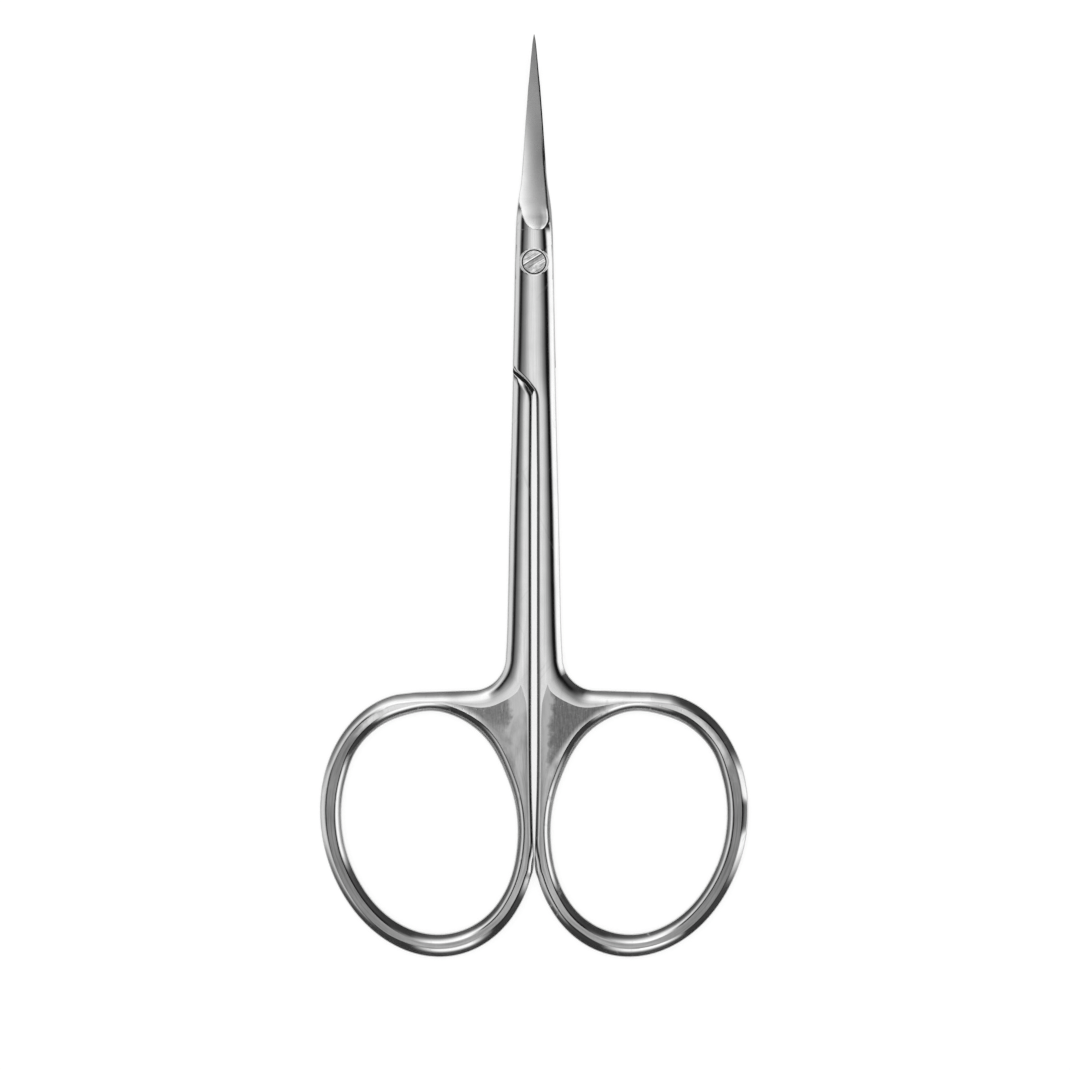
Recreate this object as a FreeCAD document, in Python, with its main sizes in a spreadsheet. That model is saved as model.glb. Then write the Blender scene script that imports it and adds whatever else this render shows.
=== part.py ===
import FreeCAD
import Part
import Sketcher
import os

# Cuticle scissors, millimetres. The shape is laid out about the screw: +Y runs towards the blade
# tips, +X to the right-hand ring and +Z towards the screw head. The placement of each piece then
# puts the origin below the middle of the closed scissors, on the surface that they lie on.
# The front half is the upper one: its blade and lap lie above the mating plane, and its shank and
# ring are on the right. The rear half is the same shape turned over, but both blades curve upwards.

SIZES = {
    # whole halves
    "half_thickness": 1.4,          # mating plane to the outer face of shank, lap and ring
    "lap_clearance": 0.01,          # mating plane to the face of each lap
    "edge_round": 0.55,             # rounding along the outer edges
    "overrun": 5.0,                 # how far a cutting sketch reaches past the solid
    # lap around the screw
    "heel_reach": 4.6,              # screw to the line where the blade starts
    "heel_half_width": 2.2,
    "side_flare_share": 0.0226,     # growth of the half width along the side, per length
    "step_reach": 12.3,             # screw to the outer end of the sloping step
    "step_drop_share": 1.066,       # slope of the step, length per width
    "step_gap": 0.3,                # running gap between a step and the other half's shoulder
    "step_round": 1.2,
    "step_throat": 1.4,             # inner end of the step down to where the shank gap is full
    # shanks
    "shank_gap": 0.64,              # between the two shanks
    "web_round": 4.0,               # inside corner from the shank to the top of the ring
    # finger rings
    "ring_gap": 0.06,               # between the two rings, at their closed stop
    "ring_trim": 0.215,             # cut off the inner side of the ring's oval, above the stop
    "stop_drop": 2.85,              # oval's innermost point down to the stop
    "taper_start": 7.7,             # centre of the ring up to where the gap starts to narrow
    "ring_centre_y": 67.2,          # below the screw
    "ring_half_width": 12.68,
    "ring_half_height": 16.02,
    "ring_lean": 13.5,              # degrees that the top of the ring leans outwards
    "ring_side_band": 2.3,          # metal between the finger hole and the ring's side
    "ring_end_band": 2.69,          # metal between the finger hole and the ring's ends
    "hole_shift_in": 0.24,          # centre of the hole from the centre of the ring
    "hole_shift_up": 0.25,
    "hole_lean": 9.3,               # degrees
    # blades
    "tip_reach": 27.07,             # screw to the tips
    "tip_width": 0.16,
    "tip_thickness": 0.3,
    "bend_start": 3.0,              # screw to where the blades begin to curve upwards
    "bend_rise": 2.0,               # height of the mating surface at the tips
    "blade_clearance": 0.03,        # from the curved mating surface to each blade
    "spine_thickness": 1.18,        # blade thickness along its back, at the heel
    "edge_thickness": 0.1,          # flat along the cutting edge
    "heel_edge_width": 1.69,        # screw line to the cutting edge, at the heel
    "spine_face_share": 0.35,       # where the back's rounding meets the facet, across the blade
    "spine_side_share": 0.55,       # height of the back's upright side, of the blade's thickness
    "facet_half_width": 1.8,        # round end of the ground facet
    "facet_half_length": 10.4,
    "facet_end": 3.8,               # screw to the facet's round end
    "facet_side": 0.12,             # middle of the facet's round end, from the screw line
    "facet_floor": 0.6,             # mating plane to the floor under the facet's round end
    # screw
    "head_radius": 1.4,
    "head_height": 0.62,
    "head_sink": 0.04,              # top of the head below the face
    "head_clearance": 0.07,
    "shoulder_radius": 0.95,
    "shoulder_clearance": 0.02,
    "thread_radius": 0.75,
    "thread_clearance": 0.01,
    "mouth_chamfer": 0.1,
    "head_bevel": 0.08,
    "slot_width": 0.62,
    "slot_depth": 0.36,
    "slot_turn": 32.0,              # degrees from +X
    "tail_sink": 0.05,              # end of the screw below the rear face
    "tail_bevel": 0.12,
}

# Cross-sections of a blade, by hand: for each place between the bend's start and the tip, the
# shares of its width, of its thickness and of the thickening at the cutting edge's heel.
BLADE_SHARES = {
    0.0: (0.97, 1.0, 0.97),
    0.12: (0.94, 0.97, 0.2),
    0.25: (0.725, 0.86, 0.02),
    0.5: (0.51, 0.6, 0.0),
    0.75: (0.29, 0.31, 0.0),
    1.0: (0.0, 0.0, 0.0),
}

SMALL = 1e-4    # tolerance for finding edges

doc = FreeCAD.newDocument("cuticle_scissors")
sheet = doc.addObject("Spreadsheet::Sheet", "Sizes")
for row, (alias, size) in enumerate(SIZES.items(), start=1):
    sheet.set("A%d" % row, alias)
    sheet.set("B%d" % row, str(size))
    sheet.setAlias("B%d" % row, alias)
doc.recompute()


def plane(body, role):
    return [item for item in body.Origin.OriginFeatures if item.Role == role][0]


def new_sketch(body, name, role="XY_Plane", height=None):
    """A sketch on one of the body's own origin planes, shifted along its normal by an expression."""
    sketch = body.newObject("Sketcher::SketchObject", name)
    sketch.AttachmentSupport = [(plane(body, role), "")]
    sketch.MapMode = "FlatFace"
    if height:
        sketch.setExpression("AttachmentOffset.Base.z", height)
    return sketch


def bind(sketch, kind, expression, *where):
    """A driving constraint whose value follows an expression of the sheet's sizes."""
    start = sketch.evalExpression(expression)
    index = sketch.addConstraint(Sketcher.Constraint(kind, *where, start))
    sketch.setExpression("Constraints[%d]" % index, expression)


def spot(sketch, x, y):
    """Where a pair of expressions puts a point of the sketch, to draw it in place."""
    return FreeCAD.Vector(sketch.evalExpression(x), sketch.evalExpression(y), 0)


def pin_point(sketch, geometry, end, x, y):
    bind(sketch, "DistanceX", x, -1, 1, geometry, end)
    bind(sketch, "DistanceY", y, -1, 1, geometry, end)


def polygon(sketch, corners):
    """A closed outline of straight lines through corners, each an (x, y) pair of expressions."""
    spots = [spot(sketch, x, y) for x, y in corners]
    count = len(corners)
    for index in range(count):
        sketch.addGeometry(Part.LineSegment(spots[index], spots[(index + 1) % count]), False)
    for index in range(count):
        sketch.addConstraint(Sketcher.Constraint("Coincident", index, 2, (index + 1) % count, 1))
    for index, (x, y) in enumerate(corners):
        pin_point(sketch, index, 1, x, y)


def circle(sketch, x, y, radius):
    normal = FreeCAD.Vector(0, 0, 1)
    drawn = Part.Circle(spot(sketch, x, y), normal, sketch.evalExpression(radius))
    index = sketch.addGeometry(drawn, False)
    pin_point(sketch, index, 3, x, y)
    bind(sketch, "Radius", radius, index)


def oval(sketch, x, y, half_width, half_height, lean):
    """An upright ellipse about (x, y) whose top leans towards +X by an angle in degrees."""
    sine = "sin((%s) * 1 deg)" % lean
    cosine = "cos((%s) * 1 deg)" % lean
    top_x = "%s + (%s) * %s" % (x, half_height, sine)
    top_y = "%s + (%s) * %s" % (y, half_height, cosine)
    low_x = "%s - (%s) * %s" % (x, half_height, sine)
    low_y = "%s - (%s) * %s" % (y, half_height, cosine)
    side_x = "%s + (%s) * %s" % (x, half_width, cosine)
    side_y = "%s - (%s) * %s" % (y, half_width, sine)
    top = spot(sketch, top_x, top_y)
    side = spot(sketch, side_x, side_y)
    index = sketch.addGeometry(Part.Ellipse(top, side, spot(sketch, x, y)), False)
    sketch.exposeInternalGeometry(index)
    pin_point(sketch, index + 1, 1, top_x, top_y)
    pin_point(sketch, index + 1, 2, low_x, low_y)
    bind(sketch, "Distance", "2 * (%s)" % half_width, index + 2, 1, index + 2, 2)


def pad(body, name, sketch, length):
    feature = body.newObject("PartDesign::Pad", name)
    feature.Profile = sketch
    feature.SideType = "Symmetric"
    feature.setExpression("Length", length)
    doc.recompute()
    return feature


def pocket(body, name, sketch, towards, length=None):
    """Cuts towards +1 or -1 along Z from the sketch, right through or by a length, and must cut."""
    before = body.Tip.Shape.Volume
    feature = body.newObject("PartDesign::Pocket", name)
    feature.Profile = sketch
    feature.Reversed = towards > 0
    if length:
        feature.setExpression("Length", length)
    else:
        feature.Type = "ThroughAll"
    doc.recompute()
    if not feature.Shape.Volume < before:
        raise RuntimeError(name + " cuts nothing")
    return feature


def dress_edges(body, kind, name, size, wanted):
    """A Fillet or Chamfer on the edges of the body's tip for which wanted(edge) is true."""
    base = body.Tip
    names = ["Edge%d" % count for count, edge in enumerate(base.Shape.Edges, start=1) if wanted(edge)]
    feature = body.newObject("PartDesign::" + kind, name)
    feature.Base = (base, names)
    feature.setExpression("Radius" if kind == "Fillet" else "Size", size)
    doc.recompute()
    return feature


def value(expression):
    return sheet.evalExpression(expression)


def round_upright(body, name, size, corner):
    """A Fillet on the straight edge along Z over the corner, an (x, y) pair of expressions."""
    x, y = value(corner[0]), value(corner[1])

    def wanted(edge):
        box = edge.BoundBox
        upright = box.XLength < SMALL and box.YLength < SMALL
        return upright and abs(box.XMin - x) + abs(box.YMin - y) < SMALL

    dress_edges(body, "Fillet", name, size, wanted)


def circle_at(edge, radius, height):
    """True for a round edge of the radius, level at the height."""
    curve = edge.Curve
    if not isinstance(curve, Part.Circle):
        return False
    return abs(curve.Radius - radius) + abs(curve.Center.z - height) < SMALL


def place(body):
    """Moves a piece from the screw's frame to the frame of the finished scissors."""
    body.setExpression("Placement.Base.y", "(%s - Sizes.tip_reach) / 2" % RING_BOTTOM)
    body.setExpression("Placement.Base.z", "Sizes.half_thickness")


# Reach of the leaning ring oval below and above its centre, and the screw to the ring's lowest point.
RING_RISE = ("sqrt((Sizes.ring_half_width * sin(Sizes.ring_lean * 1 deg))^2"
             " + (Sizes.ring_half_height * cos(Sizes.ring_lean * 1 deg))^2)")
RING_BOTTOM = "(Sizes.ring_centre_y + %s)" % RING_RISE
# Reach of the oval to its sides, which sets its centre so that the trim comes off its inner side.
RING_REACH = ("sqrt((Sizes.ring_half_width * cos(Sizes.ring_lean * 1 deg))^2"
              " + (Sizes.ring_half_height * sin(Sizes.ring_lean * 1 deg))^2)")
RING_CENTRE_X = "(Sizes.ring_gap / 2 + %s - Sizes.ring_trim)" % RING_REACH
# The lean moves the oval's highest point outwards and its innermost point down.
RING_SKEW = ("(Sizes.ring_half_height^2 - Sizes.ring_half_width^2)"
             " * sin(Sizes.ring_lean * 1 deg) * cos(Sizes.ring_lean * 1 deg)")
RING_TOP_X = "(%s + %s / %s)" % (RING_CENTRE_X, RING_SKEW, RING_RISE)
RING_INNER_Y = "(Sizes.ring_centre_y + %s / %s)" % (RING_SKEW, RING_REACH)
# The inner side runs straight from the start of the taper to the stop, and on past the oval.
TAPER_Y = "-(Sizes.ring_centre_y - Sizes.taper_start)"
TAPER_SHARE = ("((Sizes.shank_gap - Sizes.ring_gap) / 2 / (%s + Sizes.stop_drop + %s))"
               % (RING_INNER_Y, TAPER_Y))


def side_x(reach):
    """Half width of the joint and shank at a distance below the screw."""
    return "(Sizes.heel_half_width + Sizes.side_flare_share * (Sizes.heel_reach + %s))" % reach


STEP_X = side_x("Sizes.step_reach")
SHOULDER_SHIFT = "(Sizes.step_gap * sqrt(1 + Sizes.step_drop_share^2))"
# The step slopes inwards from one side and the shoulder from the other, to the point where they meet.
STEP_END_X = "(%s / (2 * Sizes.step_drop_share))" % SHOULDER_SHIFT
STEP_END = "(Sizes.step_reach + %s * Sizes.step_drop_share + %s / 2)" % (STEP_X, SHOULDER_SHIFT)


def bend(reach):
    """Height of the curved mating surface at a distance above the screw: it grows with the square."""
    return ("(Sizes.bend_rise * ((%s - Sizes.bend_start)"
            " / (Sizes.tip_reach - Sizes.bend_start))^2)" % reach)


def blade_section(body, name, side, reach, width_share, depth_share, edge_share):
    """One cross-section of a blade at a distance above the screw, as a five-sided outline.

    Its back is width_share of the heel's half width from the screw line, its thickness runs from
    the tip's to the heel's by depth_share, and edge_share thickens the cutting edge at the heel.
    """
    sketch = new_sketch(body, name, "XZ_Plane", "-%s" % reach)
    to_tip = "((Sizes.tip_reach - %s) / (Sizes.tip_reach - Sizes.heel_reach))" % reach
    edge = "(Sizes.tip_width / 2 + (Sizes.heel_edge_width - Sizes.tip_width / 2) * %s)" % to_tip
    back = "(-Sizes.tip_width / 2 - (Sizes.heel_half_width - Sizes.tip_width / 2) * %s)" % width_share
    thick = "(Sizes.tip_thickness + (Sizes.spine_thickness - Sizes.tip_thickness) * %s)" % depth_share
    thin = "(Sizes.edge_thickness + (%s - Sizes.edge_thickness) * %s)" % (thick, edge_share)
    crest = "(%s + Sizes.spine_face_share * (%s - %s))" % (back, edge, back)
    low = "(%s + %d * Sizes.blade_clearance)" % (bend(reach), side)
    corners = [(back, "0"), (edge, "0"), (edge, thin), (crest, thick)]
    corners.append((back, "Sizes.spine_side_share * %s" % thick))
    polygon(sketch, [("%d * %s" % (side, x), "%s + %d * %s" % (low, side, z)) for x, z in corners])
    return sketch


def make_half(label, side):
    """side is +1 for the front half, with its ring at +X, and -1 for the rear half."""
    body = doc.addObject("PartDesign::Body", label)
    body.Label = label
    thickness = "2 * Sizes.half_thickness"

    def at(x, y):
        return ("%d * (%s)" % (side, x), y)

    # flat blank of lap, shank and web, in one outline
    blank = new_sketch(body, "blank_outline")
    low_side = side_x("(Sizes.ring_centre_y - %s)" % RING_RISE)
    polygon(blank, [
        at("Sizes.heel_half_width", "Sizes.heel_reach"),
        at(low_side, "-(Sizes.ring_centre_y - %s)" % RING_RISE),
        at(RING_TOP_X, "-(Sizes.ring_centre_y - %s)" % RING_RISE),
        at(RING_CENTRE_X, "-Sizes.ring_centre_y"),
        at("0", "-%s" % RING_INNER_Y),
        at("Sizes.shank_gap / 2", TAPER_Y),
        at("Sizes.shank_gap / 2", "-(%s + Sizes.step_throat)" % STEP_END),
        at(STEP_END_X, "-%s" % STEP_END),
        at("-%s" % STEP_X, "-Sizes.step_reach"),
        at("-Sizes.heel_half_width", "Sizes.heel_reach"),
    ])
    pad(body, "blank", blank, thickness)

    # finger ring, its inner side trimmed along the taper down to where the two rings meet
    ring = new_sketch(body, "ring_outline")
    oval(ring, "%d * %s" % (side, RING_CENTRE_X), "-Sizes.ring_centre_y",
         "Sizes.ring_half_width", "Sizes.ring_half_height", "%d * Sizes.ring_lean" % side)
    pad(body, "ring", ring, thickness)
    trim = new_sketch(body, "ring_stop_outline", height="-(Sizes.half_thickness + Sizes.overrun)")
    polygon(trim, [
        at("Sizes.shank_gap / 2", TAPER_Y),
        at("Sizes.shank_gap / 2 - (%s + %s) * %s" % (RING_BOTTOM, TAPER_Y, TAPER_SHARE),
           "-%s" % RING_BOTTOM),
        at("-Sizes.overrun", "-%s" % RING_BOTTOM),
        at("-Sizes.overrun", TAPER_Y),
    ])
    pocket(body, "ring_stop", trim, +1)

    # room for the other half's lap: everything past the mating plane, above the sloping shoulder
    recess = new_sketch(body, "recess_outline", height="%d * Sizes.lap_clearance" % side)
    past = "(%s + Sizes.overrun)" % STEP_X
    shoulder = "(Sizes.step_reach + %s)" % SHOULDER_SHIFT
    polygon(recess, [
        at(past, "Sizes.heel_reach + Sizes.overrun"),
        at("-%s" % past, "Sizes.heel_reach + Sizes.overrun"),
        at("-%s" % past, "-(%s + (%s + %s) * Sizes.step_drop_share)" % (shoulder, past, STEP_X)),
        at(past, "-(%s + (%s - %s) * Sizes.step_drop_share)" % (shoulder, STEP_X, past)),
    ])
    pocket(body, "recess", recess, -side)

    # upright corners: the web's inside corner and the outer end of the step
    web = at(low_side, "-(Sizes.ring_centre_y - %s)" % RING_RISE)
    round_upright(body, "web_corner", "Sizes.web_round", web)
    outer = at("-%s" % STEP_X, "-Sizes.step_reach")
    round_upright(body, "step_corner", "Sizes.step_round", outer)

    bore = new_sketch(body, "finger_hole_outline", height="-(Sizes.half_thickness + Sizes.overrun)")
    oval(bore, "%d * (%s - Sizes.hole_shift_in)" % (side, RING_CENTRE_X),
         "-(Sizes.ring_centre_y - Sizes.hole_shift_up)",
         "Sizes.ring_half_width - Sizes.ring_side_band",
         "Sizes.ring_half_height - Sizes.ring_end_band", "%d * Sizes.hole_lean" % side)
    pocket(body, "finger_hole", bore, +1)

    # rounded rims: every edge that lies in one of the two outer faces
    top = value("Sizes.half_thickness")
    heel = value("Sizes.heel_reach")

    def rim(edge):
        box = edge.BoundBox
        level = box.ZLength < SMALL and abs(abs(box.ZMax) - top) < SMALL
        return level and box.YMax < heel + SMALL and not (box.YLength < SMALL and box.YMax > heel - SMALL)

    dress_edges(body, "Fillet", "rims", "Sizes.edge_round", rim)

    # the ground facet runs out into the lap in a round end
    facet = new_sketch(body, "facet_outline", height="%d * (Sizes.half_thickness + Sizes.overrun)" % side)
    oval(facet, "%d * Sizes.facet_side" % side, "Sizes.facet_end + Sizes.facet_half_length",
         "Sizes.facet_half_width", "Sizes.facet_half_length", "0")
    pocket(body, "facet_end", facet, -side,
           "Sizes.half_thickness + Sizes.overrun - Sizes.facet_floor")

    # blade, lofted from inside the lap to the tip
    sections = []
    for count, (reach_share, shares) in enumerate(BLADE_SHARES.items(), start=1):
        reach = "(Sizes.bend_start + %s * (Sizes.tip_reach - Sizes.bend_start))" % reach_share
        sections.append(blade_section(body, "blade_section_%d" % count, side, reach, *shares))
    blade = body.newObject("PartDesign::AdditiveLoft", "blade")
    blade.Profile = sections[0]
    blade.Sections = sections[1:]
    doc.recompute()
    place(body)
    return body


def add_hole(body, name, side, radius, depth=None):
    """A round hole about the screw's axis, from the half's outer face, right through or by a depth."""
    outline = new_sketch(body, name + "_outline", height="%d * Sizes.half_thickness" % side)
    circle(outline, "0", "0", radius)
    return pocket(body, name, outline, -side, depth)


def make_screw():
    """The slotted screw: head, plain shoulder, threaded end as a plain round, and a domed tail."""
    body = doc.addObject("PartDesign::Body", "pivot_screw")
    body.Label = "pivot_screw"
    top = "(Sizes.half_thickness - Sizes.head_sink)"
    seat = "(%s - Sizes.head_height)" % top
    tail = "(Sizes.half_thickness - Sizes.tail_sink)"
    profile = new_sketch(body, "screw_profile", "XZ_Plane")
    polygon(profile, [
        ("0", top),
        ("Sizes.head_radius - Sizes.head_bevel", top),
        ("Sizes.head_radius", "%s - Sizes.head_bevel" % top),
        ("Sizes.head_radius", seat),
        ("Sizes.shoulder_radius", seat),
        ("Sizes.shoulder_radius", "-Sizes.lap_clearance"),
        ("Sizes.thread_radius", "-Sizes.lap_clearance"),
        ("Sizes.thread_radius", "-(%s - Sizes.tail_bevel)" % tail),
        ("Sizes.thread_radius - Sizes.tail_bevel", "-%s" % tail),
        ("0", "-%s" % tail),
    ])
    turned = body.newObject("PartDesign::Revolution", "turned_screw")
    turned.Profile = profile
    turned.ReferenceAxis = (profile, ["V_Axis"])
    turned.Angle = 360
    doc.recompute()

    # slot across the head, turned from +X
    slot = new_sketch(body, "slot_outline", height=top)
    sine = "sin(Sizes.slot_turn * 1 deg)"
    cosine = "cos(Sizes.slot_turn * 1 deg)"
    corners = []
    for along, across in ((1, 1), (-1, 1), (-1, -1), (1, -1)):
        reach = "(%d * (Sizes.head_radius + Sizes.overrun))" % along
        width = "(%d * Sizes.slot_width / 2)" % across
        corners.append(("%s * %s - %s * %s" % (reach, cosine, width, sine),
                        "%s * %s + %s * %s" % (reach, sine, width, cosine)))
    polygon(slot, corners)
    pocket(body, "slot", slot, -1, "Sizes.slot_depth")
    place(body)
    return body


front = make_half("front_half", 1)
add_hole(front, "counterbore", 1, "Sizes.head_radius + Sizes.head_clearance",
         "Sizes.head_sink + Sizes.head_height")
mouth_radius = value("Sizes.head_radius + Sizes.head_clearance")
mouth_height = value("Sizes.half_thickness")
dress_edges(front, "Chamfer", "counterbore_mouth", "Sizes.mouth_chamfer",
            lambda edge: circle_at(edge, mouth_radius, mouth_height))
add_hole(front, "screw_clearance", 1, "Sizes.shoulder_radius + Sizes.shoulder_clearance")

rear = make_half("rear_half", -1)
add_hole(rear, "tapped_hole", -1, "Sizes.thread_radius + Sizes.thread_clearance")

screw = make_screw()
doc.recompute()

for item in doc.Objects:
    if "Invalid" in item.State or "Error" in item.State:
        raise RuntimeError("%s is in state %s" % (item.Name, item.State))
os.makedirs("parts", exist_ok=True)
for piece in (front, rear, screw):
    shape = piece.Shape
    if shape.isNull() or not shape.isValid() or len(shape.Solids) != 1:
        raise RuntimeError(piece.Label + " isn't one valid solid")
    box = shape.optimalBoundingBox()
    print("%s: %.1f mm3, x %.3f to %.3f, y %.3f to %.3f, z %.3f to %.3f" % (
        piece.Label, shape.Volume, box.XMin, box.XMax, box.YMin, box.YMax, box.ZMin, box.ZMax))
    shape.exportStep("parts/%s.step" % piece.Label)
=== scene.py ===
import math

import bmesh
import bpy
import numpy as np
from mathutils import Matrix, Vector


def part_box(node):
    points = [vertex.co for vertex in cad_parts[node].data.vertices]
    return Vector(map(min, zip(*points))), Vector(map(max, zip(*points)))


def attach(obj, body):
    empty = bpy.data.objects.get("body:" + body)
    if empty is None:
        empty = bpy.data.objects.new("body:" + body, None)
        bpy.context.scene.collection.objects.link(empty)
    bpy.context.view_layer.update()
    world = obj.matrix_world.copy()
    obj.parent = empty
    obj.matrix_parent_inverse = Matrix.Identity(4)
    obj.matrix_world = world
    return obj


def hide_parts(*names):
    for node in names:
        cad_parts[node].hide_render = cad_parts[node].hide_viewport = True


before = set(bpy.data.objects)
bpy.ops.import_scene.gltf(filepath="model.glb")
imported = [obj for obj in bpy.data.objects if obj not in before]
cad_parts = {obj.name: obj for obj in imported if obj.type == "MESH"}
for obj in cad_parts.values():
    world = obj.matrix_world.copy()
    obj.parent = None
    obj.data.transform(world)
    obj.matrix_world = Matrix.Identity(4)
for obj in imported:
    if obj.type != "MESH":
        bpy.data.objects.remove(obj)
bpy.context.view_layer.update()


# Steel halves
# Each half is forged in one piece of hardened stainless steel: finger ring, shank, lap and blade.
# The rear half is the front one turned over, but both blades curve upwards. Sizes are millimetres
# about the screw, with across positive on the side of the half's own ring.

mm = 0.001
half_thickness = 1.4
screw_low, screw_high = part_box("pivot_screw")
screw_across = (screw_low.x + screw_high.x) / 2 / mm
screw_along = (screw_low.y + screw_high.y) / 2 / mm
mating_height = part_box("front_half")[0].z / mm + half_thickness

tip_reach = 27.07
bend_start = 3.0
bend_rise = 2.0
facet_start = 3.84
step_corner = -12.55
step_across = -2.57
shoulder_start = -12.95
throat = -15.9
shank_start = -17.5
web_start = -47.15
web_end = -50.4
web_across = 1.6
web_point = np.array((web_across, web_end))
web_centre = np.array((7.4, web_start))
web_round = 4.0
ring_centre = np.array((12.7, -67.2))
ring_half = np.array((12.68, 16.02))
ring_lean = 13.5
ring_top = -51.15
hole_centre = np.array((12.46, -66.95))
hole_half = np.array((10.38, 13.33))
hole_lean = 9.3
screw_seat_rows = 2.1
lap_clearance = 0.01
blade_clearance = 0.02
inner_across = 0.335

# Places along the half, then across it: where each edge runs in plan.
outer_edge = (
    (tip_reach, 0.04), (22, 0.45), (18, 0.77), (14.5, 1.05), (11.5, 1.27), (9, 1.5), (6.5, 1.72), (5.3, 1.86),
    (4.7, 1.95), (4, 2.04), (3, 2.13), (1.5, 2.21), (0, 2.28), (-3, 2.36), (-11, 2.5), (-18.8, 2.67),
    (-30.8, 2.97), (-38, 3.11), (-45, 3.28), (web_start, 3.4))
spine_edge = (
    (tip_reach, -0.04), (26.3, -0.17), (24.4, -0.37), (22.5, -0.55), (20.6, -0.74), (18.7, -0.89),
    (16.8, -1.04), (14.9, -1.17), (12.9, -1.31), (11, -1.45), (10, -1.53), (9.1, -1.63), (8.2, -1.79),
    (7.2, -1.94), (6.3, -2.05), (5.2, -2.13), (4.4, -2.18), (3, -2.23), (0, -2.31), (-6, -2.43),
    (step_corner, step_across))
step_edge = (
    (step_corner, step_across), (-13.02, -2.25), (-13.25, -1.92), (-13.6, -1.5), (-14.1, -1.0),
    (-14.65, -0.52), (-15, -0.22), (-15.4, 0.04), (throat, 0.19), (-17.3, 0.25), (-18.8, 0.265),
    (-20.2, 0.28), (-23, 0.3), (-26, 0.325), (-32, 0.32), (-46, 0.32), (web_end, inner_across))
shoulder_edge = (
    (shoulder_start, 2.6), (-13.25, 2.47), (-13.6, 2.1), (-14.1, 1.5), (-14.5, 1.03), (-14.9, 0.69),
    (-15.2, 0.48), (-15.5, 0.32), (throat, 0.19))
inner_side_end = -73.2
inner_side = (
    (web_end, inner_across), (-57.5, 0.333), (-60.4, 0.313), (-63.3, 0.27), (-66.1, 0.185), (-67.6, 0.148),
    (-69, 0.1), (-70.4, 0.05), (-71.5, 0.032), (-72.2, 0.075), (inner_side_end, 0.225))
crest_line = (
    (tip_reach, 0.1), (-10.5, 0.1), (-13, 0.2), (-15, 0.55), (-17, 0.82), (-20, 0.87), (-40, 0.9), (-45, 1.0),
    (-48, 1.27), (web_end, web_across))
facet_left = (
    (tip_reach, -0.02), (24.4, -0.31), (20.6, -0.67), (14.9, -1.08), (11, -1.35), (10, -1.43), (9.1, -1.53),
    (8.2, -1.69), (7.3, -1.76), (6.5, -1.69), (6.2, -1.61), (5.8, -1.51), (5.5, -1.41), (5.1, -1.25),
    (4.6, -1.0), (4.3, -0.76), (4.1, -0.52), (4.0, -0.36), (3.9, -0.1), (3.86, 0.1), (facet_start, 0.35))
facet_right = (
    (tip_reach, 0.02), (22, 0.31), (18, 0.6), (14.5, 0.88), (11.5, 1.1), (9, 1.33), (6.5, 1.53), (5.3, 1.66),
    (5.0, 1.64), (4.65, 1.52), (4.35, 1.37), (4.2, 1.26), (4.0, 1.1), (3.9, 0.96), (3.86, 0.72),
    (facet_start, 0.35))

# Heights over the mating plane: the facet's upper border, then its lower one along the edge's bevel.
spine_height = (
    (tip_reach, 0.2), (24, 0.29), (20, 0.41), (15, 0.57), (10, 0.71), (8.2, 0.785), (7, 0.86), (6, 0.96),
    (5.5, 1.02), (5.1, 1.085), (4.6, 1.19), (4.3, 1.275), (4.1, 1.335), (3.9, 1.388), (facet_start, 1.397))
bevel_height = (
    (tip_reach, 0.19), (25.8, 0.175), (24.4, 0.165), (22, 0.16), (20, 0.17), (11, 0.21), (9, 0.24),
    (7.2, 0.34), (6, 0.52), (5.3, 0.7), (5.0, 0.79), (4.65, 0.92), (4.4, 1.02), (4.0, 1.2))

# Blade: the tilt of its outer side, where the bar passes into it, how steeply the edge is ground
# at the heel and at the tip, and the rim that the stone left round the facet's heel.
blade_tilt = 27.5
heel_fade = (4.4, 5.3)
edge_wall_share = 0.4
least_wall_share = 0.45
grind_heel = 0.53
grind_tip = 0.24
grind_fade = (9, 17)
hollow_fade = (11, 20)
rim_width = 0.09
rim_depth = 0.1
rim_fade = (5.4, 7.2)

# Distances below the screw over which the lap passes into the step, its hidden side leaves the
# bar, and the inner edges of lap and shoulder become the shank's.
step_fade = (12.2, 13.0)
hidden_fade = (14.5, 19.5)
lap_neck = (14.8, 17.2)
shoulder_neck = (15, 17.2)
shoulder_share = 0.42
far_side = 80.0

# Outer side of the bar, and the round along its inner edge as (width, corner, tilt): beside the
# step, beside the shoulder, and along shank and ring, where a narrow chamfer is cut as well.
side_wall = 0.004
side_corner = 0.3
side_tilt = 38.5
step_lip = (0.3, 0.16, 30)
shoulder_lip = (0.75, side_corner, 33)
inner_corner = 0.1
inner_tilt = 8.0
chamfer_width = 0.42
chamfer_tilt = 18.0

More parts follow.
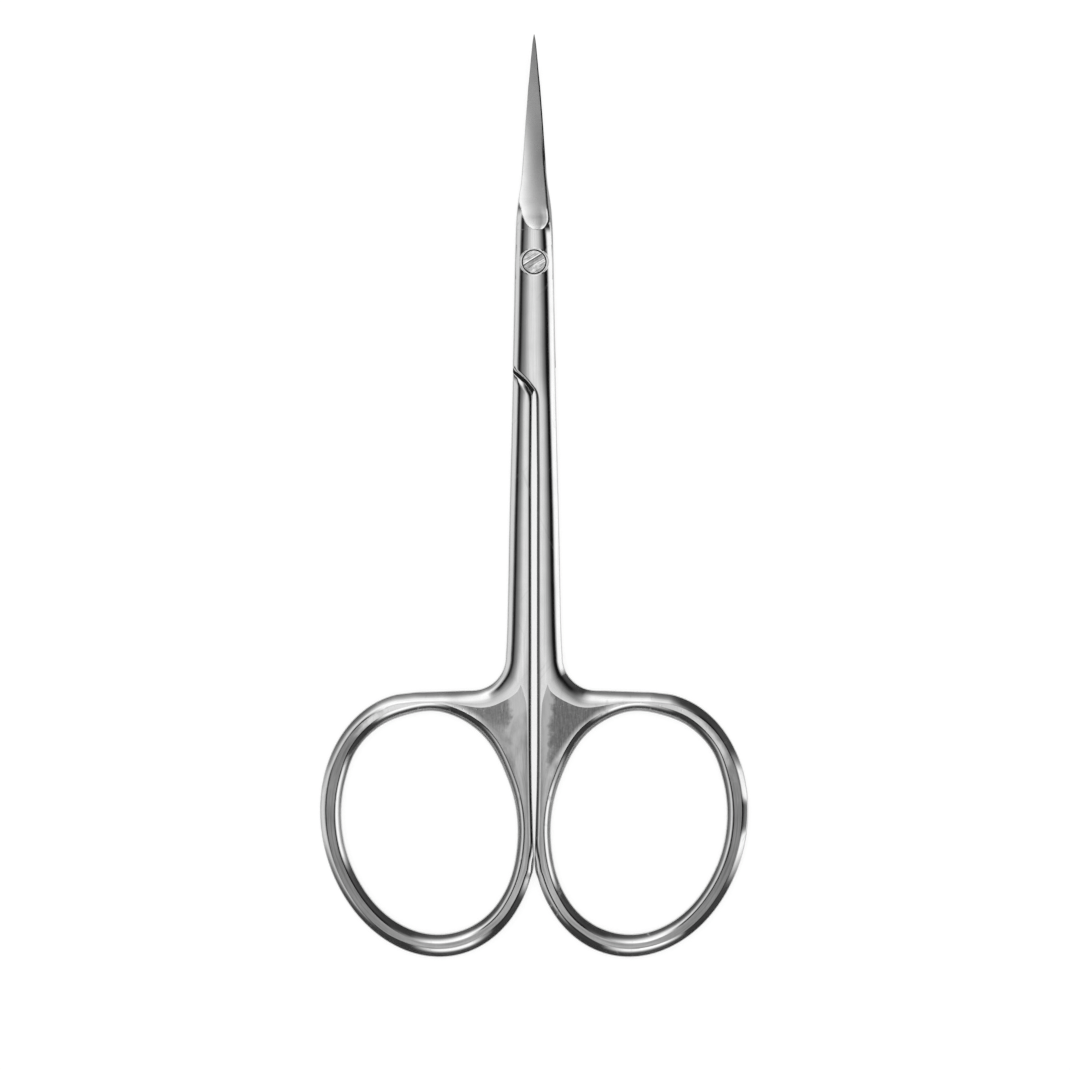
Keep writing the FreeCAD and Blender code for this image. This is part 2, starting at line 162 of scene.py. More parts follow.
# Rounded band inside the outline: place across and along (or the angle round the ring, counted from
# its outer side to its top), width, tilt at the upright side, tilt where it meets the flat, and
# share of plain bevel in place of the crowned round.
web_band = (
    (3.91, -49.1, 2.65, 38.5, 0, 0), (4.23, -49.58, 2.8, 38.5, 0, 0), (4.74, -50.14, 2.62, 39, 4, 0.1),
    (5.28, -50.54, 2.42, 40, 6, 0.22), (5.88, -50.85, 2.32, 41, 8, 0.36), (7.4, ring_top, 1.97, 41, 11, 0.55),
    (8.6, -51.2, 1.72, 41, 14, 0.75), (11, -51.26, 1.3, 41, 18, 0.95))
ring_band = (
    (88, 1.2, 41, 20, 1), (72, 1.08, 41, 23, 1), (58, 0.95, 41, 25, 1), (43, 0.88, 41, 26, 1),
    (34, 0.8, 40, 26, 1), (25, 0.8, 38, 26, 1), (19, 0.8, 29, 25, 1), (10, 0.8, 29, 25, 1),
    (4, 0.8, 38, 26, 1), (-12, 0.8, 40, 26, 1), (-30, 0.8, 40, 26, 1), (-47, 0.84, 41, 26, 1),
    (-62, 1.0, 41, 24, 1), (-90, 1.1, 41, 18, 1), (-107, 1.1, 41, 18, 1), (-122, 0.92, 41, 20, 1),
    (-138, 0.84, 40, 22, 1), (-152, 0.75, 39, 22, 1))
side_band = (
    (0.1, -69, 0.47, 10, 6, 1), (0.31, -60.4, 0.45, 8, 4, 1), (0.333, -56, 0.47, 8, 4, 1),
    (0.334, -53, 0.6, 8, 3, 1), (0.335, -51.6, 0.88, 8, 1, 1), (inner_across, web_end, 1.265, 8, 0, 1))
chamfer_run = 21.4
chamfer_run_out = 2.0
rear_least_tilt = 38
rear_tilt_from = 20

# Round the finger hole, by the angle counted as on the ring: how far its edge lies outside the
# oval, and the width of its band.
hole_drift = (
    (-180, 0.0), (-165, 0.0), (-135, 0.2), (-120, 0.24), (-90, 0.1), (-30, 0.0), (0, 0.1), (30, 0.1),
    (45, 0.22), (66, 0.0), (85, -0.2), (110, 0.2), (135, 0.33), (165, 0.0), (180, 0.0))
hole_band = (
    (-180, 0.9), (-165, 0.88), (-135, 0.85), (-120, 0.95), (-75, 1.05), (-60, 0.98), (-30, 0.82), (0, 0.86),
    (45, 0.85), (75, 1.0), (120, 1.0), (135, 1.06), (165, 0.92), (180, 0.9))
hole_tilt = 44.5
hole_flat_tilt = 24.5


def eased(at, places):
    """Smooth curve through places: a cubic between each two, whose slopes are the harmonic mean
    of the neighbouring rises, so that it never overshoots."""
    x, y = np.array(sorted(places), float).T
    step = np.diff(x)
    rise = np.diff(y) / step
    slope = np.concatenate((rise[:1], np.zeros(len(rise) - 1), rise[-1:]))
    same = rise[1:] * rise[:-1] > 0
    before, after = 2 * step[1:] + step[:-1], step[1:] + 2 * step[:-1]
    left, right = np.where(same, rise[:-1], 1.0), np.where(same, rise[1:], 1.0)
    slope[1:-1] = np.where(same, (before + after) / (before / left + after / right), 0.0)
    index = np.clip(np.searchsorted(x, at) - 1, 0, len(step) - 1)
    share = np.clip((at - x[index]) / step[index], 0, 1)
    rest = 1 - share
    return (y[index] * (1 + 2 * share) * rest ** 2 + y[index + 1] * share ** 2 * (3 - 2 * share)
            + step[index] * (slope[index] * share * rest ** 2 - slope[index + 1] * share ** 2 * rest))


def faded(at, start, end):
    """0 before start and 1 after end, with a smooth step between them."""
    share = np.clip((at - start) / (end - start), 0, 1)
    return share * share * (3 - 2 * share)


def mixed(first, second, share):
    """first where share is 0, second where it is 1, and in proportion between."""
    return first * (1 - share) + second * share


def by_row(rows, *values):
    """Each value, or each row's own value, as a column of that many rows."""
    return [np.broadcast_to(np.asarray(value, float), (rows,))[:, None] for value in values]


side_columns = 18
facet_columns = 24
corner_columns = 5
column_share = 1 - np.cos(np.linspace(0, math.pi / 2, side_columns + 1))
slope_steps = 80
bevel_power = 2.7
column_power = 1.3
narrow_rows = (0.35, 0.7)


def section_height(away, width, corner, steep, flat=0, bevel=0):
    """Height of the bar at a distance from its edge. An upright side and a small corner round lead
    to a slope that starts at the steep tilt. From there the tilt falls as on half an ellipse, or
    for a bevel as a power of the distance down to the flat tilt, and heights are summed from the
    crest down. Each row has its own width, corner and tilts."""
    width, corner, steep, flat, bevel = by_row(
        len(away), np.maximum(width, 0.001), corner, np.radians(steep), np.radians(flat), bevel)
    reach = corner * (1 - np.sin(steep))
    place = np.linspace(0, 1, slope_steps + 1)
    left = np.clip(1 - (reach + (width - reach) * place) / width, 0, 0.9999)
    crowned = np.minimum(np.arctan(half_thickness / width * left / np.sqrt(1 - left ** 2)), steep)
    slope = np.tan(mixed(crowned, steep + (flat - steep) * place ** bevel_power, bevel))
    fall = (slope[:, 1:] + slope[:, :-1]) / 2 * (width - reach) / slope_steps
    fall = np.cumsum(fall[:, ::-1], 1)[:, ::-1]
    height = half_thickness - np.concatenate((fall, np.zeros_like(width)), 1)
    share = np.clip((away - reach) / (width - reach), 0, 1) * slope_steps
    low = np.minimum(share.astype(int), slope_steps - 1)
    rows = np.arange(len(height))[:, None]
    on_slope = mixed(height[rows, low], height[rows, low + 1], share - low)
    round_share = np.clip(1 - away / corner, 0, 1)
    on_round = height[:, :1] - corner * (np.cos(steep) - np.sqrt(1 - round_share ** 2))
    return np.where(away < reach, on_round, on_slope) * np.clip(away / side_wall, 0, 1)


def section_places(width, corner, steep):
    """Distances of the columns from the edge: the upright side, equal turns round the corner, then
    wider and wider steps to the crest. Narrow rows have their columns by equal turns instead."""
    width, corner, steep = by_row(len(width), width, corner, np.radians(steep))
    turns = np.arange(1, corner_columns + 1) / (corner_columns + 1)
    on_round = corner * (1 - np.sin(mixed(math.pi / 2, steep, turns)))
    reach = corner * (1 - np.sin(steep))
    on_slope = reach + (width - reach) * np.linspace(0, 1, side_columns - corner_columns - 1) ** column_power
    first = np.zeros_like(width)
    wide = np.concatenate((first, first + side_wall, on_round, on_slope), 1)
    return mixed(width * column_share, wide, faded(width, *narrow_rows))


def spread(start, end, step):
    """Levels from start towards end, evenly spaced by about step, without the end itself."""
    count = max(1, round(abs(end - start) / step))
    return start + (end - start) * np.arange(count) / count


# Rows along the half, as stretches that each start at a place and have a spacing. They are closer
# together where the shape changes quickly, and closer and closer towards the facet's heel.
heel_rows = 0.16
stretches = (
    (tip_reach - 0.03, 0.2), (8.5, 0.08), (5.6, 0.04), (facet_start + heel_rows, 0), (facet_start, 0.15),
    (screw_seat_rows, 0.12), (-screw_seat_rows, 0.3), (-12.2, 0.04), (step_corner, 0.03),
    (shoulder_start, 0.03), (-13.6, 0.05), (throat, 0.12), (-18, 0.4), (-44, 0.15), (web_start, 0.13),
    (web_end, 0))
levels = [(tip_reach,)]
for (start, spacing), (end, _) in zip(stretches, stretches[1:]):
    towards_heel = end + heel_rows * np.linspace(1, 0, 9)[:-1] ** 2
    levels.append(spread(start, end, spacing) if spacing else towards_heel)
levels = np.concatenate((*levels, (web_end,)))
shank_rows = np.flatnonzero(levels <= shoulder_start + 1e-9)
lap_rows = np.flatnonzero(levels >= throat - 1e-9)


def outer_place(y):
    """Outer edge beside the crest at y, as (across, along): straight out, and towards the centre
    of the web's inside corner once the row is below it."""
    crest = np.stack((eased(y, crest_line), y), -1)
    out = np.stack((eased(y, outer_edge), y), -1)
    away = crest - web_centre
    corner = web_centre + web_round * away / np.maximum(np.hypot(*away.T), 1e-6)[:, None]
    return np.where((y < web_start)[:, None], corner, out)


def inner_place(y):
    """Inner edge of the lap side: the blade's back, the lap's free side, the step, the shank."""
    return np.where(y >= step_corner, eased(y, spine_edge), eased(y, step_edge))


def shoulder_place(y):
    """Inner edge of the shoulder side: the sloping shoulder, then the shank."""
    shoulder = np.minimum(eased(y, shoulder_edge), eased(y, outer_edge))
    return np.where(y >= throat, shoulder, eased(y, step_edge))


def edge_line(place, start):
    """An inner edge from its start to the web, as a line of points every 0.01."""
    y = np.arange(start, web_end - 0.01, -0.01)
    return np.stack((place(y), y), -1)


step_line = edge_line(inner_place, step_corner)
shoulder_line = edge_line(shoulder_place, shoulder_start)


def distance_to(line, x, y):
    """Shortest distance of each point to a dense line of points."""
    return np.sqrt(((x[..., None] - line[:, 0]) ** 2 + (y[..., None] - line[:, 1]) ** 2).min(-1))


def crown(x, y, left):
    """Height of the crowned bar at any place: its section counted from the nearer side, where
    left is the side that the lap has, or would have past its step."""
    flat_x, flat_y = x.ravel(), y.ravel()
    left = np.broadcast_to(left, x.shape).ravel()
    crest = eased(flat_y, crest_line)
    out = outer_place(np.maximum(flat_y, web_start))[:, 0]
    away = np.where(flat_x > crest, out - flat_x, flat_x - left)
    width = np.where(flat_x > crest, out - crest, crest - left)
    return section_height(away[:, None], width, side_corner, side_tilt).reshape(x.shape)


def lipped(height, gap, lip, width, shank):
    """Heights lowered by the round along the inner edge, at a gap from that edge. The round is the
    lip of step or shoulder, and along the shank it is as wide as the side and has its own corner."""
    size = [mixed(own, along, shank) for own, along in zip(lip, (width, inner_corner, inner_tilt))]
    return height * section_height(gap, *size, bevel=1) / half_thickness


def chamfered(height, away, amount):
    """Heights with a narrow chamfer along the inner side, fully cut where amount is 1."""
    cut = section_height(away, chamfer_width, inner_corner, chamfer_tilt, bevel=1) / half_thickness
    return height * mixed(1, cut, *by_row(len(away), amount))


def from_outer(y, outer, end, steep):
    """Columns from the outer edge in to where each row ends: the row's length, then each column's
    distance from the edge and its places across and along."""
    length = np.hypot(outer[:, 0] - end, outer[:, 1] - y)
    away = section_places(length, side_corner, steep)
    share = away / np.maximum(length, 1e-9)[:, None]
    return length, away, mixed(outer[:, :1], end[:, None], share), mixed(outer[:, 1:], y[:, None], share)


def hollow_ground(share):
    """Fall across the hollow face, slow below its upper border and then steady: the share less a
    third of (1 less the exponential of -3 times the share), set to 1 at the lower border."""
    return (share - (1 - np.exp(-3 * share)) / 3) / (1 - (1 - math.exp(-3)) / 3)


def lap_side():
    """Outer skin of the lap side, from the tip to the web: the crowned bar, with the facet of the
    blade let in between its left and right columns. Returns across, along and height."""
    y = levels
    crest = eased(y, crest_line)
    blade = y > facet_start
    inner, outer = inner_place(y), outer_place(y)
    left_end = np.where(blade, eased(y, facet_left), crest)
    right_end = np.where(blade, eased(y, facet_right), crest)

    step, shank = faded(-y, *step_fade)[:, None], faded(-y, *lap_neck)[:, None]
    width = left_end - inner
    away = mixed(section_places(width, side_corner, side_tilt), width[:, None] * column_share, step)
    away = mixed(away, section_places(width, inner_corner, inner_tilt), shank)
    x_left = inner[:, None] + away
    y_left = np.broadcast_to(y[:, None], away.shape)
    bar_side = np.where(y > step_corner, inner, step_across - far_side * faded(-y, *hidden_fade))
    gap = np.where(y_left < shank_start, away, distance_to(step_line, x_left, y_left))
    z_left = lipped(crown(x_left, y_left, bar_side[:, None]), gap, step_lip, crest - inner, shank[:, 0])
    z_left = chamfered(z_left, gap, shank[:, 0])
    z_left *= np.where(blade, eased(y, spine_height) / z_left[:, -1], 1)[:, None]
    z_left[:, 0] = 0

    steep = mixed(side_tilt, blade_tilt, faded(y, bend_start, heel_fade[0]))
    length, away, x_right, y_right = from_outer(y, outer, right_end, steep)
    to_crest = np.where(blade, outer[:, 0] - crest, length)
    z_right = section_height(away, to_crest, side_corner, steep)
    wall = np.clip(column_share / edge_wall_share, 0, 1)
    bevel = np.clip((column_share - edge_wall_share) / (1 - edge_wall_share), 0, 1)
    top = eased(y, bevel_height)[:, None]
    drop = mixed(grind_heel, grind_tip, faded(y, *grind_fade)) * (outer[:, 0] - right_end)
    drop = np.minimum(drop[:, None], least_wall_share * top)
    on_blade = faded(y, *heel_fade)[:, None]
    z_right = mixed(z_right, (top - drop) * wall + drop * bevel, on_blade)
    x_right = mixed(x_right, mixed(outer[:, :1], right_end[:, None], bevel), on_blade)

    lip = rim_width / np.maximum(right_end - left_end, 3 * rim_width)[:, None]
    share = mixed(lip, 1, np.linspace(0, 1, facet_columns)[:-1])
    x_facet = mixed(left_end[:, None], right_end[:, None], share)
    y_facet = np.broadcast_to(y[:, None], share.shape)
    fall = mixed(hollow_ground(share), share, faded(y_facet, *hollow_fade))
    border = np.minimum(x_facet - left_end[:, None], right_end[:, None] - x_facet)
    border = np.minimum(border, y_facet - facet_start)
    depth = rim_depth * (1 - 0.6 * faded(share, 0.75, 1)) * (1 - faded(y_facet, *rim_fade))
    z_facet = mixed(z_left[:, -1:], z_right[:, -1:], fall) - depth * np.clip(border / rim_width, 0, 1)

    parts = ((x_left, x_facet, x_right), (y_left, y_facet, y_right), (z_left, z_facet, z_right))
    x, y, z = (np.concatenate((left, facet, right[:, ::-1]), 1) for left, facet, right in parts)
    x[0] = z[0] = 0
    return x, y, z


def shoulder_side():
    """Outer skin of the shoulder side, from the shoulder to the web: the crowned bar, rounded
    over along the shoulder and the shank's inner edge. Returns across, along and height."""
    y = levels[shank_rows]
    crest = eased(y, crest_line)
    inner, outer = shoulder_place(y), outer_place(y)
    shank = faded(-y, *shoulder_neck)
    middle = mixed(mixed(inner, outer[:, 0], shoulder_share), crest, shank)
    width = middle - inner
    away = section_places(width, inner_corner, inner_tilt)
    away = mixed(width[:, None] * column_share, away, shank[:, None])
    x_left = inner[:, None] + away
    y_left = np.broadcast_to(y[:, None], away.shape)
    gap = np.where(y_left < shank_start, away, distance_to(shoulder_line, x_left, y_left))
    z_left = lipped(crown(x_left, y_left, -far_side), gap, shoulder_lip, crest - inner, shank)
    z_left = chamfered(z_left, gap, shank)

    length, away, x_right, y_right = from_outer(y, outer, middle, side_tilt)
    own = section_height(away, length, side_corner, side_tilt)
    z_right = crown(x_right, np.maximum(y_right, web_start), -far_side)
    z_right = np.where((y < -shoulder_neck[1] - 0.1)[:, None], own, z_right)
    gap = distance_to(shoulder_line, x_right, y_right)
    near = lipped(z_right, gap, shoulder_lip, crest - inner, shank)
    z_right = np.where(y_right < shank_start, z_right, near)
    z_left[:, 0] = z_right[:, 0] = 0
    sides = ((x_left, x_right), (y_left, y_right), (z_left, z_right))
    return [np.concatenate((left, right[:, -2::-1]), 1) for left, right in sides]


def oval(centre, half, lean, angles):
    """Points of an oval that leans outwards at the top; angle 0 is its outer side, 90 its top."""
    a, tilt = np.radians(angles), math.radians(lean)
    across, along = half[0] * np.cos(a), half[1] * np.sin(a)
    return np.stack((centre[0] + across * math.cos(tilt) + along * math.sin(tilt),
                     centre[1] - across * math.sin(tilt) + along * math.cos(tilt)), -1)


def run_of(line):
    """Length of the line from its start to each of its points."""
    return np.concatenate(((0,), np.cumsum(np.hypot(*np.diff(line, axis=0).T))))


def stepped(line, places):
    """Points of the line at those distances from its start."""
    run = run_of(line)
    return np.stack([np.interp(places, run, line[:, k]) for k in range(2)], -1)


def evened(line, step):
    """The same line, smoothed a little, with points at equal steps along it."""
    side = 20
    window = np.ones(2 * side + 1) / (2 * side + 1)
    padded = np.concatenate((2 * line[:1] - line[side:0:-1], line, 2 * line[-1:] - line[-2:-side - 2:-1]))
    line = np.stack([np.convolve(padded[:, k], window, "valid") for k in range(2)], -1)
    length = run_of(line)[-1]
    places = np.linspace(0, length, int(length / step) + 1)
    return stepped(line, places), places


# The nearly straight top of the ring falls a little from the web's corner to the oval, which takes
# over where it is further across, and ends where the ring's straighter inner side begins.
top_start = 7.42
top_end = 14.0
top_fall = 0.194
top_fade = (6.5, 14.5)
oval_start = 14.07
oval_side = 6
oval_end = -73.4
above_oval_end = -55
outline_step = 0.25


def ring_outline():
    """Plan of the half below the web: round the inside corner, along the ring's top, round the
    oval, and up its inner side, with points at equal steps."""
    start = math.atan2(*(web_point - web_centre)[::-1])
    a = np.linspace(start + 2 * math.pi, 1.5 * math.pi, 400)
    corner = web_centre + web_round * np.stack((np.cos(a), np.sin(a)), -1)
    x = np.linspace(top_start, top_end, 400)
    top = np.stack((x, ring_top - top_fall * faded(x, *top_fade)), -1)
    ring = oval(ring_centre, ring_half, ring_lean, np.linspace(90, -180, 6000))
    across, along = ring.T
    below_top = (across > oval_start) | (along < above_oval_end)
    ring = ring[below_top & ((across > oval_side) | (along < oval_end))]
    y = np.linspace(inner_side_end, web_end, 1600)
    inner = np.stack((eased(y, inner_side), y), -1)
    line = np.concatenate((corner, top, ring, inner))
    length = run_of(line)[-1]
    return evened(stepped(line, np.linspace(0, length, int(length / 0.02))), outline_step)


def inwards(line):
    """Unit vectors square to a line, on its right-hand side."""
    ahead = np.gradient(line, axis=0)
    ahead /= np.hypot(*ahead.T)[:, None]
    return np.stack((ahead[:, 1], -ahead[:, 0]), -1)


outline, outline_run = ring_outline()
outline[0] = web_centre + web_round * (web_point - web_centre) / math.hypot(*(web_point - web_centre))
outline[-1] = (inner_across, web_end)
into = inwards(outline)
into[0] = (web_point - outline[0]) / math.hypot(*(web_point - outline[0]))
into[-1] = (1, 0)


def outline_bands():
    """Width, tilts and share of bevel of the rounded band, at each point of the outline."""
    knots = list(web_band + side_band)
    for angle, *profile in ring_band:
        knots.append((*oval(ring_centre, ring_half, ring_lean, angle), *profile))
    places = [outline_run[((outline - knot[:2]) ** 2).sum(1).argmin()] for knot in knots]
    return [eased(outline_run, [(place, knot[n]) for place, knot in zip(places, knots)]) for n in range(2, 6)]


def band(line, direction, width, steep, flat, bevel, on_side):
    """A rounded band from a line inwards, as across, along and height. on_side is 1 where the line
    is the half's inner side, which has the small corner and the chamfer."""
    corner = mixed(side_corner, inner_corner, on_side)
    away = section_places(width, corner, steep)
    plan = line[:, None, :] + direction[:, None, :] * away[..., None]
    height = section_height(away, width, corner, steep, flat, bevel)
    return plan[..., 0], plan[..., 1], chamfered(height, away, on_side)


band_width, band_steep, band_flat, band_bevel = outline_bands()
band_width[0] = math.hypot(*(outline[0] - web_point))
side_start = outline_run[-1] - chamfer_run
on_side = faded(outline_run, side_start, side_start + chamfer_run_out)
edge_x, edge_y, edge_z = band(outline, into, band_width, band_steep, band_flat, band_bevel, on_side)
rear_steep = np.maximum(band_steep, np.where(outline[:, 0] > rear_tilt_from, rear_least_tilt, 0))
rear_edge = band(outline, into, band_width, rear_steep, band_flat, band_bevel, on_side)


corner_turn = 15
corner_runs = (9, 13)


def hole_stations():
    """Points and outward directions of the finger hole's edge, one for each point of the outline,
    at about the same bearing from the middle of the hole. Towards the corner where both ends of the
    outline meet, the bearings turn back, so that no line between them leaves the flat."""
    angles = np.linspace(540, -540, 10801)
    line = oval(hole_centre, hole_half, hole_lean, angles)
    away = -inwards(line)
    turned = (angles + 180) % 360 - 180
    line = line + away * eased(turned, hole_drift)[:, None]
    wide = eased(turned, hole_band)
    rim = line + away * wide[:, None] - hole_centre
    own = np.degrees(np.unwrap(np.arctan2(rim[:, 1], rim[:, 0])))
    own = own - 360 * round(own[len(own) // 2] / 360)
    flat = np.stack((edge_x[:, -1], edge_y[:, -1]), -1) - hole_centre
    bearing = np.degrees(np.unwrap(np.arctan2(flat[:, 1], flat[:, 0])))
    end = outline_run[-1]
    near_end = 1 - faded(outline_run, 0, corner_runs[0]) + faded(outline_run, end - corner_runs[1], end)
    bearing = np.minimum.accumulate(bearing + corner_turn * near_end)
    at = np.interp(-bearing, -own, np.arange(len(own)))
    pick = [np.interp(at, np.arange(len(own)), values) for values in (*line.T, *away.T, wide)]
    return np.stack(pick[:2], -1), np.stack(pick[2:4], -1), pick[4]


hole_line, hole_out, hole_width = hole_stations()
hole_line[-1], hole_out[-1], hole_width[-1] = hole_line[0], hole_out[0], hole_width[0]
hole_x, hole_y, hole_z = band(hole_line, hole_out, hole_width, hole_tilt, hole_flat_tilt, 1, 0)


def grid_faces(rows, columns, first):
    """Quads of a grid whose points start at first, row by row."""
    index = first + np.arange(rows * columns).reshape(rows, columns)
    return np.stack((index[:-1, :-1], index[:-1, 1:], index[1:, 1:], index[1:, :-1]), -1).reshape(-1, 4)


# Finishes of a half, in the order of its materials, and the size of one unit of the grain's map.
buffed, satin, ground, lapped = range(4)
map_unit = 0.01


class Skin:
    """Gathers grids of points with their plan lines and finish, to be welded into one mesh."""

    def __init__(self):
        self.points, self.lines, self.quads, self.finish, self.count = [], [], [], [], 0

    def add(self, x, y, z, along, across, finish, keep=None):
        rows, columns = x.shape
        quads = grid_faces(rows, columns, self.count)
        if keep is not None:
            quads = quads[keep.ravel()]
        self.points.append(np.stack((x, y, z), -1).reshape(-1, 3))
        self.lines.append(np.stack((along, across), -1).reshape(-1, 2) * map_unit)
        self.quads.append(quads)
        self.finish.append(np.full(len(quads), finish))
        self.count += rows * columns

    def mesh(self, name, weld=2e-6, crease=24):
        """One welded mesh: same places merged, faces turned outwards, creases kept sharp."""
        points, quads = np.concatenate(self.points), np.concatenate(self.quads)
        data = bpy.data.meshes.new(name)
        data.from_pydata(points * mm, [], quads)
        data.uv_layers.new(name="along")
        data.uv_layers["along"].data.foreach_set("uv", np.concatenate(self.lines)[quads.ravel()].ravel())
        data.polygons.foreach_set("material_index", np.concatenate(self.finish))
        work = bmesh.new()
        work.from_mesh(data)
        bmesh.ops.remove_doubles(work, verts=work.verts, dist=weld)
        bmesh.ops.dissolve_degenerate(work, edges=work.edges, dist=weld)
        bmesh.ops.recalc_face_normals(work, faces=work.faces)
        open_edges = sum(1 for e in work.edges if len(e.link_faces) != 2)
        print(name, "faces", len(work.faces), "open edges", open_edges)
        work.to_mesh(data)
        work.free()
        data.shade_smooth()
        data.set_sharp_from_angle(angle=math.radians(crease))
        return data


seat_margin = 0.2
seat_rows = 5
seat_columns = 6


def seat(skin, put, grid, rows, columns, rings, finish, top, ends=None):
    """Fills a block that was left out of a grid with rings of points that run from its border to
    a round hole, then down the hole: rings is (radius, height) from the mouth down. The bearings of
    the hole's points are those of the border, or ends if given; they are returned."""
    x, y = grid
    r0, r1 = rows
    border = ([(r0, c) for c in columns] + [(r, columns[-1]) for r in range(r0 + 1, r1)]
              + [(r1, c) for c in columns[::-1]] + [(r, columns[0]) for r in range(r1 - 1, r0, -1)])
    border.append(border[0])
    index = tuple(np.array(border).T)
    bx, by = x[index], y[index]
    bearing = np.arctan2(by, bx)
    mouth, outermost = rings[0][0], np.hypot(bx, by)
    ends = bearing if ends is None else ends
    turned = (ends - bearing + math.pi) % (2 * math.pi) - math.pi
    share = np.linspace(0, 1, 9)[:, None]
    near = mouth + seat_margin * np.linspace(0.8, 0, seat_rows)[:, None]
    out = np.concatenate((mixed(outermost, mouth + seat_margin, share), near + 0 * outermost))
    bearing = bearing + turned * np.concatenate((share, np.ones_like(near)))
    px, py = out * np.cos(bearing), out * np.sin(bearing)
    px[0], py[0] = bx, by
    pz = top(px, py)
    skin.add(*put(px, py, pz), py, px, finish)
    if len(rings) > 1:
        radius, height = np.array(rings).T[:, :, None]
        hx, hy, hz = radius * np.cos(ends), radius * np.sin(ends), height + 0 * ends
        hz[0] = pz[-1]
        skin.add(*put(hx[:3], hy[:3], hz[:3]), hy[:3], hx[:3], finish)
        skin.add(*put(hx[2:], hy[2:], hz[2:]), hy[2:], hx[2:], lapped)
    return ends


def half_skin(side, hole):
    """All skins of one half. side is 1 for the front half, whose lap lies above the mating plane,
    and -1 for the rear half. Heights grow away from the mating plane."""
    skin = Skin()

    def put(x, y, z, face=1):
        bend = bend_rise * (np.clip(y - bend_start, 0, None) / (tip_reach - bend_start)) ** 2
        lift = (lap_clearance + blade_clearance * faded(y, bend_start, 20)) * faded(y, throat, shoulder_start)
        return side * x + screw_across, y + screw_along, mating_height + bend + side * (lift + face * z)

    x, y, z = lap_side()
    left, right = side_columns, side_columns + facet_columns
    r0, r1 = np.flatnonzero(np.abs(levels) <= screw_seat_rows + 1e-6)[[0, -1]]
    c0, c1 = seat_columns, x.shape[1] - 1 - seat_columns
    keep = np.ones((x.shape[0] - 1, x.shape[1] - 1), bool)
    keep[r0:r1, c0:c1] = False
    keep[:, left:right] &= (levels[1:] >= facet_start - 1e-9)[:, None]
    sides, facet = keep.copy(), keep.copy()
    sides[:, left:right] = False
    facet[:, :left] = facet[:, right:] = False
    skin.add(*put(x, y, z), y, x, buffed, sides)
    width = np.maximum(x[:, [right]] - x[:, [left]], 0.001)
    share = (x - x[:, [left]]) / width
    border = np.minimum(np.minimum(share, 1 - share) * width, y - facet_start)
    skin.add(*put(x, y, z), share, border, ground, facet)

    mouth, mouth_height = hole[0]

    def lap_top(px, py):
        level = faded(np.hypot(px, py), mouth + 0.01, mouth + 0.14)
        return mixed(mouth_height, crown(px, py, inner_place(py.ravel()).reshape(py.shape)), level)

    columns = list(range(c0, left + 1)) + list(range(right + 1, c1 + 1))
    ends = seat(skin, put, (x, y), (r0, r1), columns, hole, buffed, lap_top)

    x, y, z = shoulder_side()
    skin.add(*put(x, y, z, -1), y, x, buffed)

    y = levels[lap_rows]
    inner = inner_place(y)
    outer = np.where(y > shoulder_start, outer_place(y)[:, 0], shoulder_place(y))
    count = len(columns) + 2
    x = mixed(inner[:, None], outer[:, None], np.linspace(0, 1, count))
    x[0] = 0
    y = np.repeat(y[:, None], count, 1)
    keep = np.ones((len(y) - 1, count - 1), bool)
    keep[r0:r1, 1:count - 2] = False
    skin.add(*put(x, y, x * 0), y, x, lapped, keep)
    bore = ((hole[-1][0], 0.0),)
    seat(skin, put, (x, y), (r0, r1), range(1, count - 1), bore, lapped, lambda px, py: px * 0, ends)

    across = np.linspace(0, 1, 7)
    land_x = mixed(edge_x[:, -1:], hole_x[:, -1:], across)
    land_y = mixed(edge_y[:, -1:], hole_y[:, -1:], across)
    land_z = half_thickness + 0 * land_x
    rim = (edge_x, edge_y, edge_z) if side > 0 else rear_edge
    run = outline_run[:, None]
    faces = ((rim, column_share, buffed), ((hole_x, hole_y, hole_z), column_share, buffed),
             ((land_x, land_y, land_z), 2 * across, satin))
    for face in (1, -1):
        for (x, y, z), grain, finish in faces:
            skin.add(*put(x, y, z, face), run + 0 * x, grain + 0 * x, finish)
    return skin


# Hole for the screw, as radius and height from the mouth down: counterbore, seat and bearing in the
# front half, tapped hole in the rear half.
front_hole = (
    (1.59, 1.33), (1.495, 1.325), (1.475, 1.3), (1.47, 1.2), (1.47, 0.75), (0.97, 0.72), (0.97, 0.0))
rear_hole = ((0.86, 1.37), (0.76, 1.28), (0.76, 0.0))


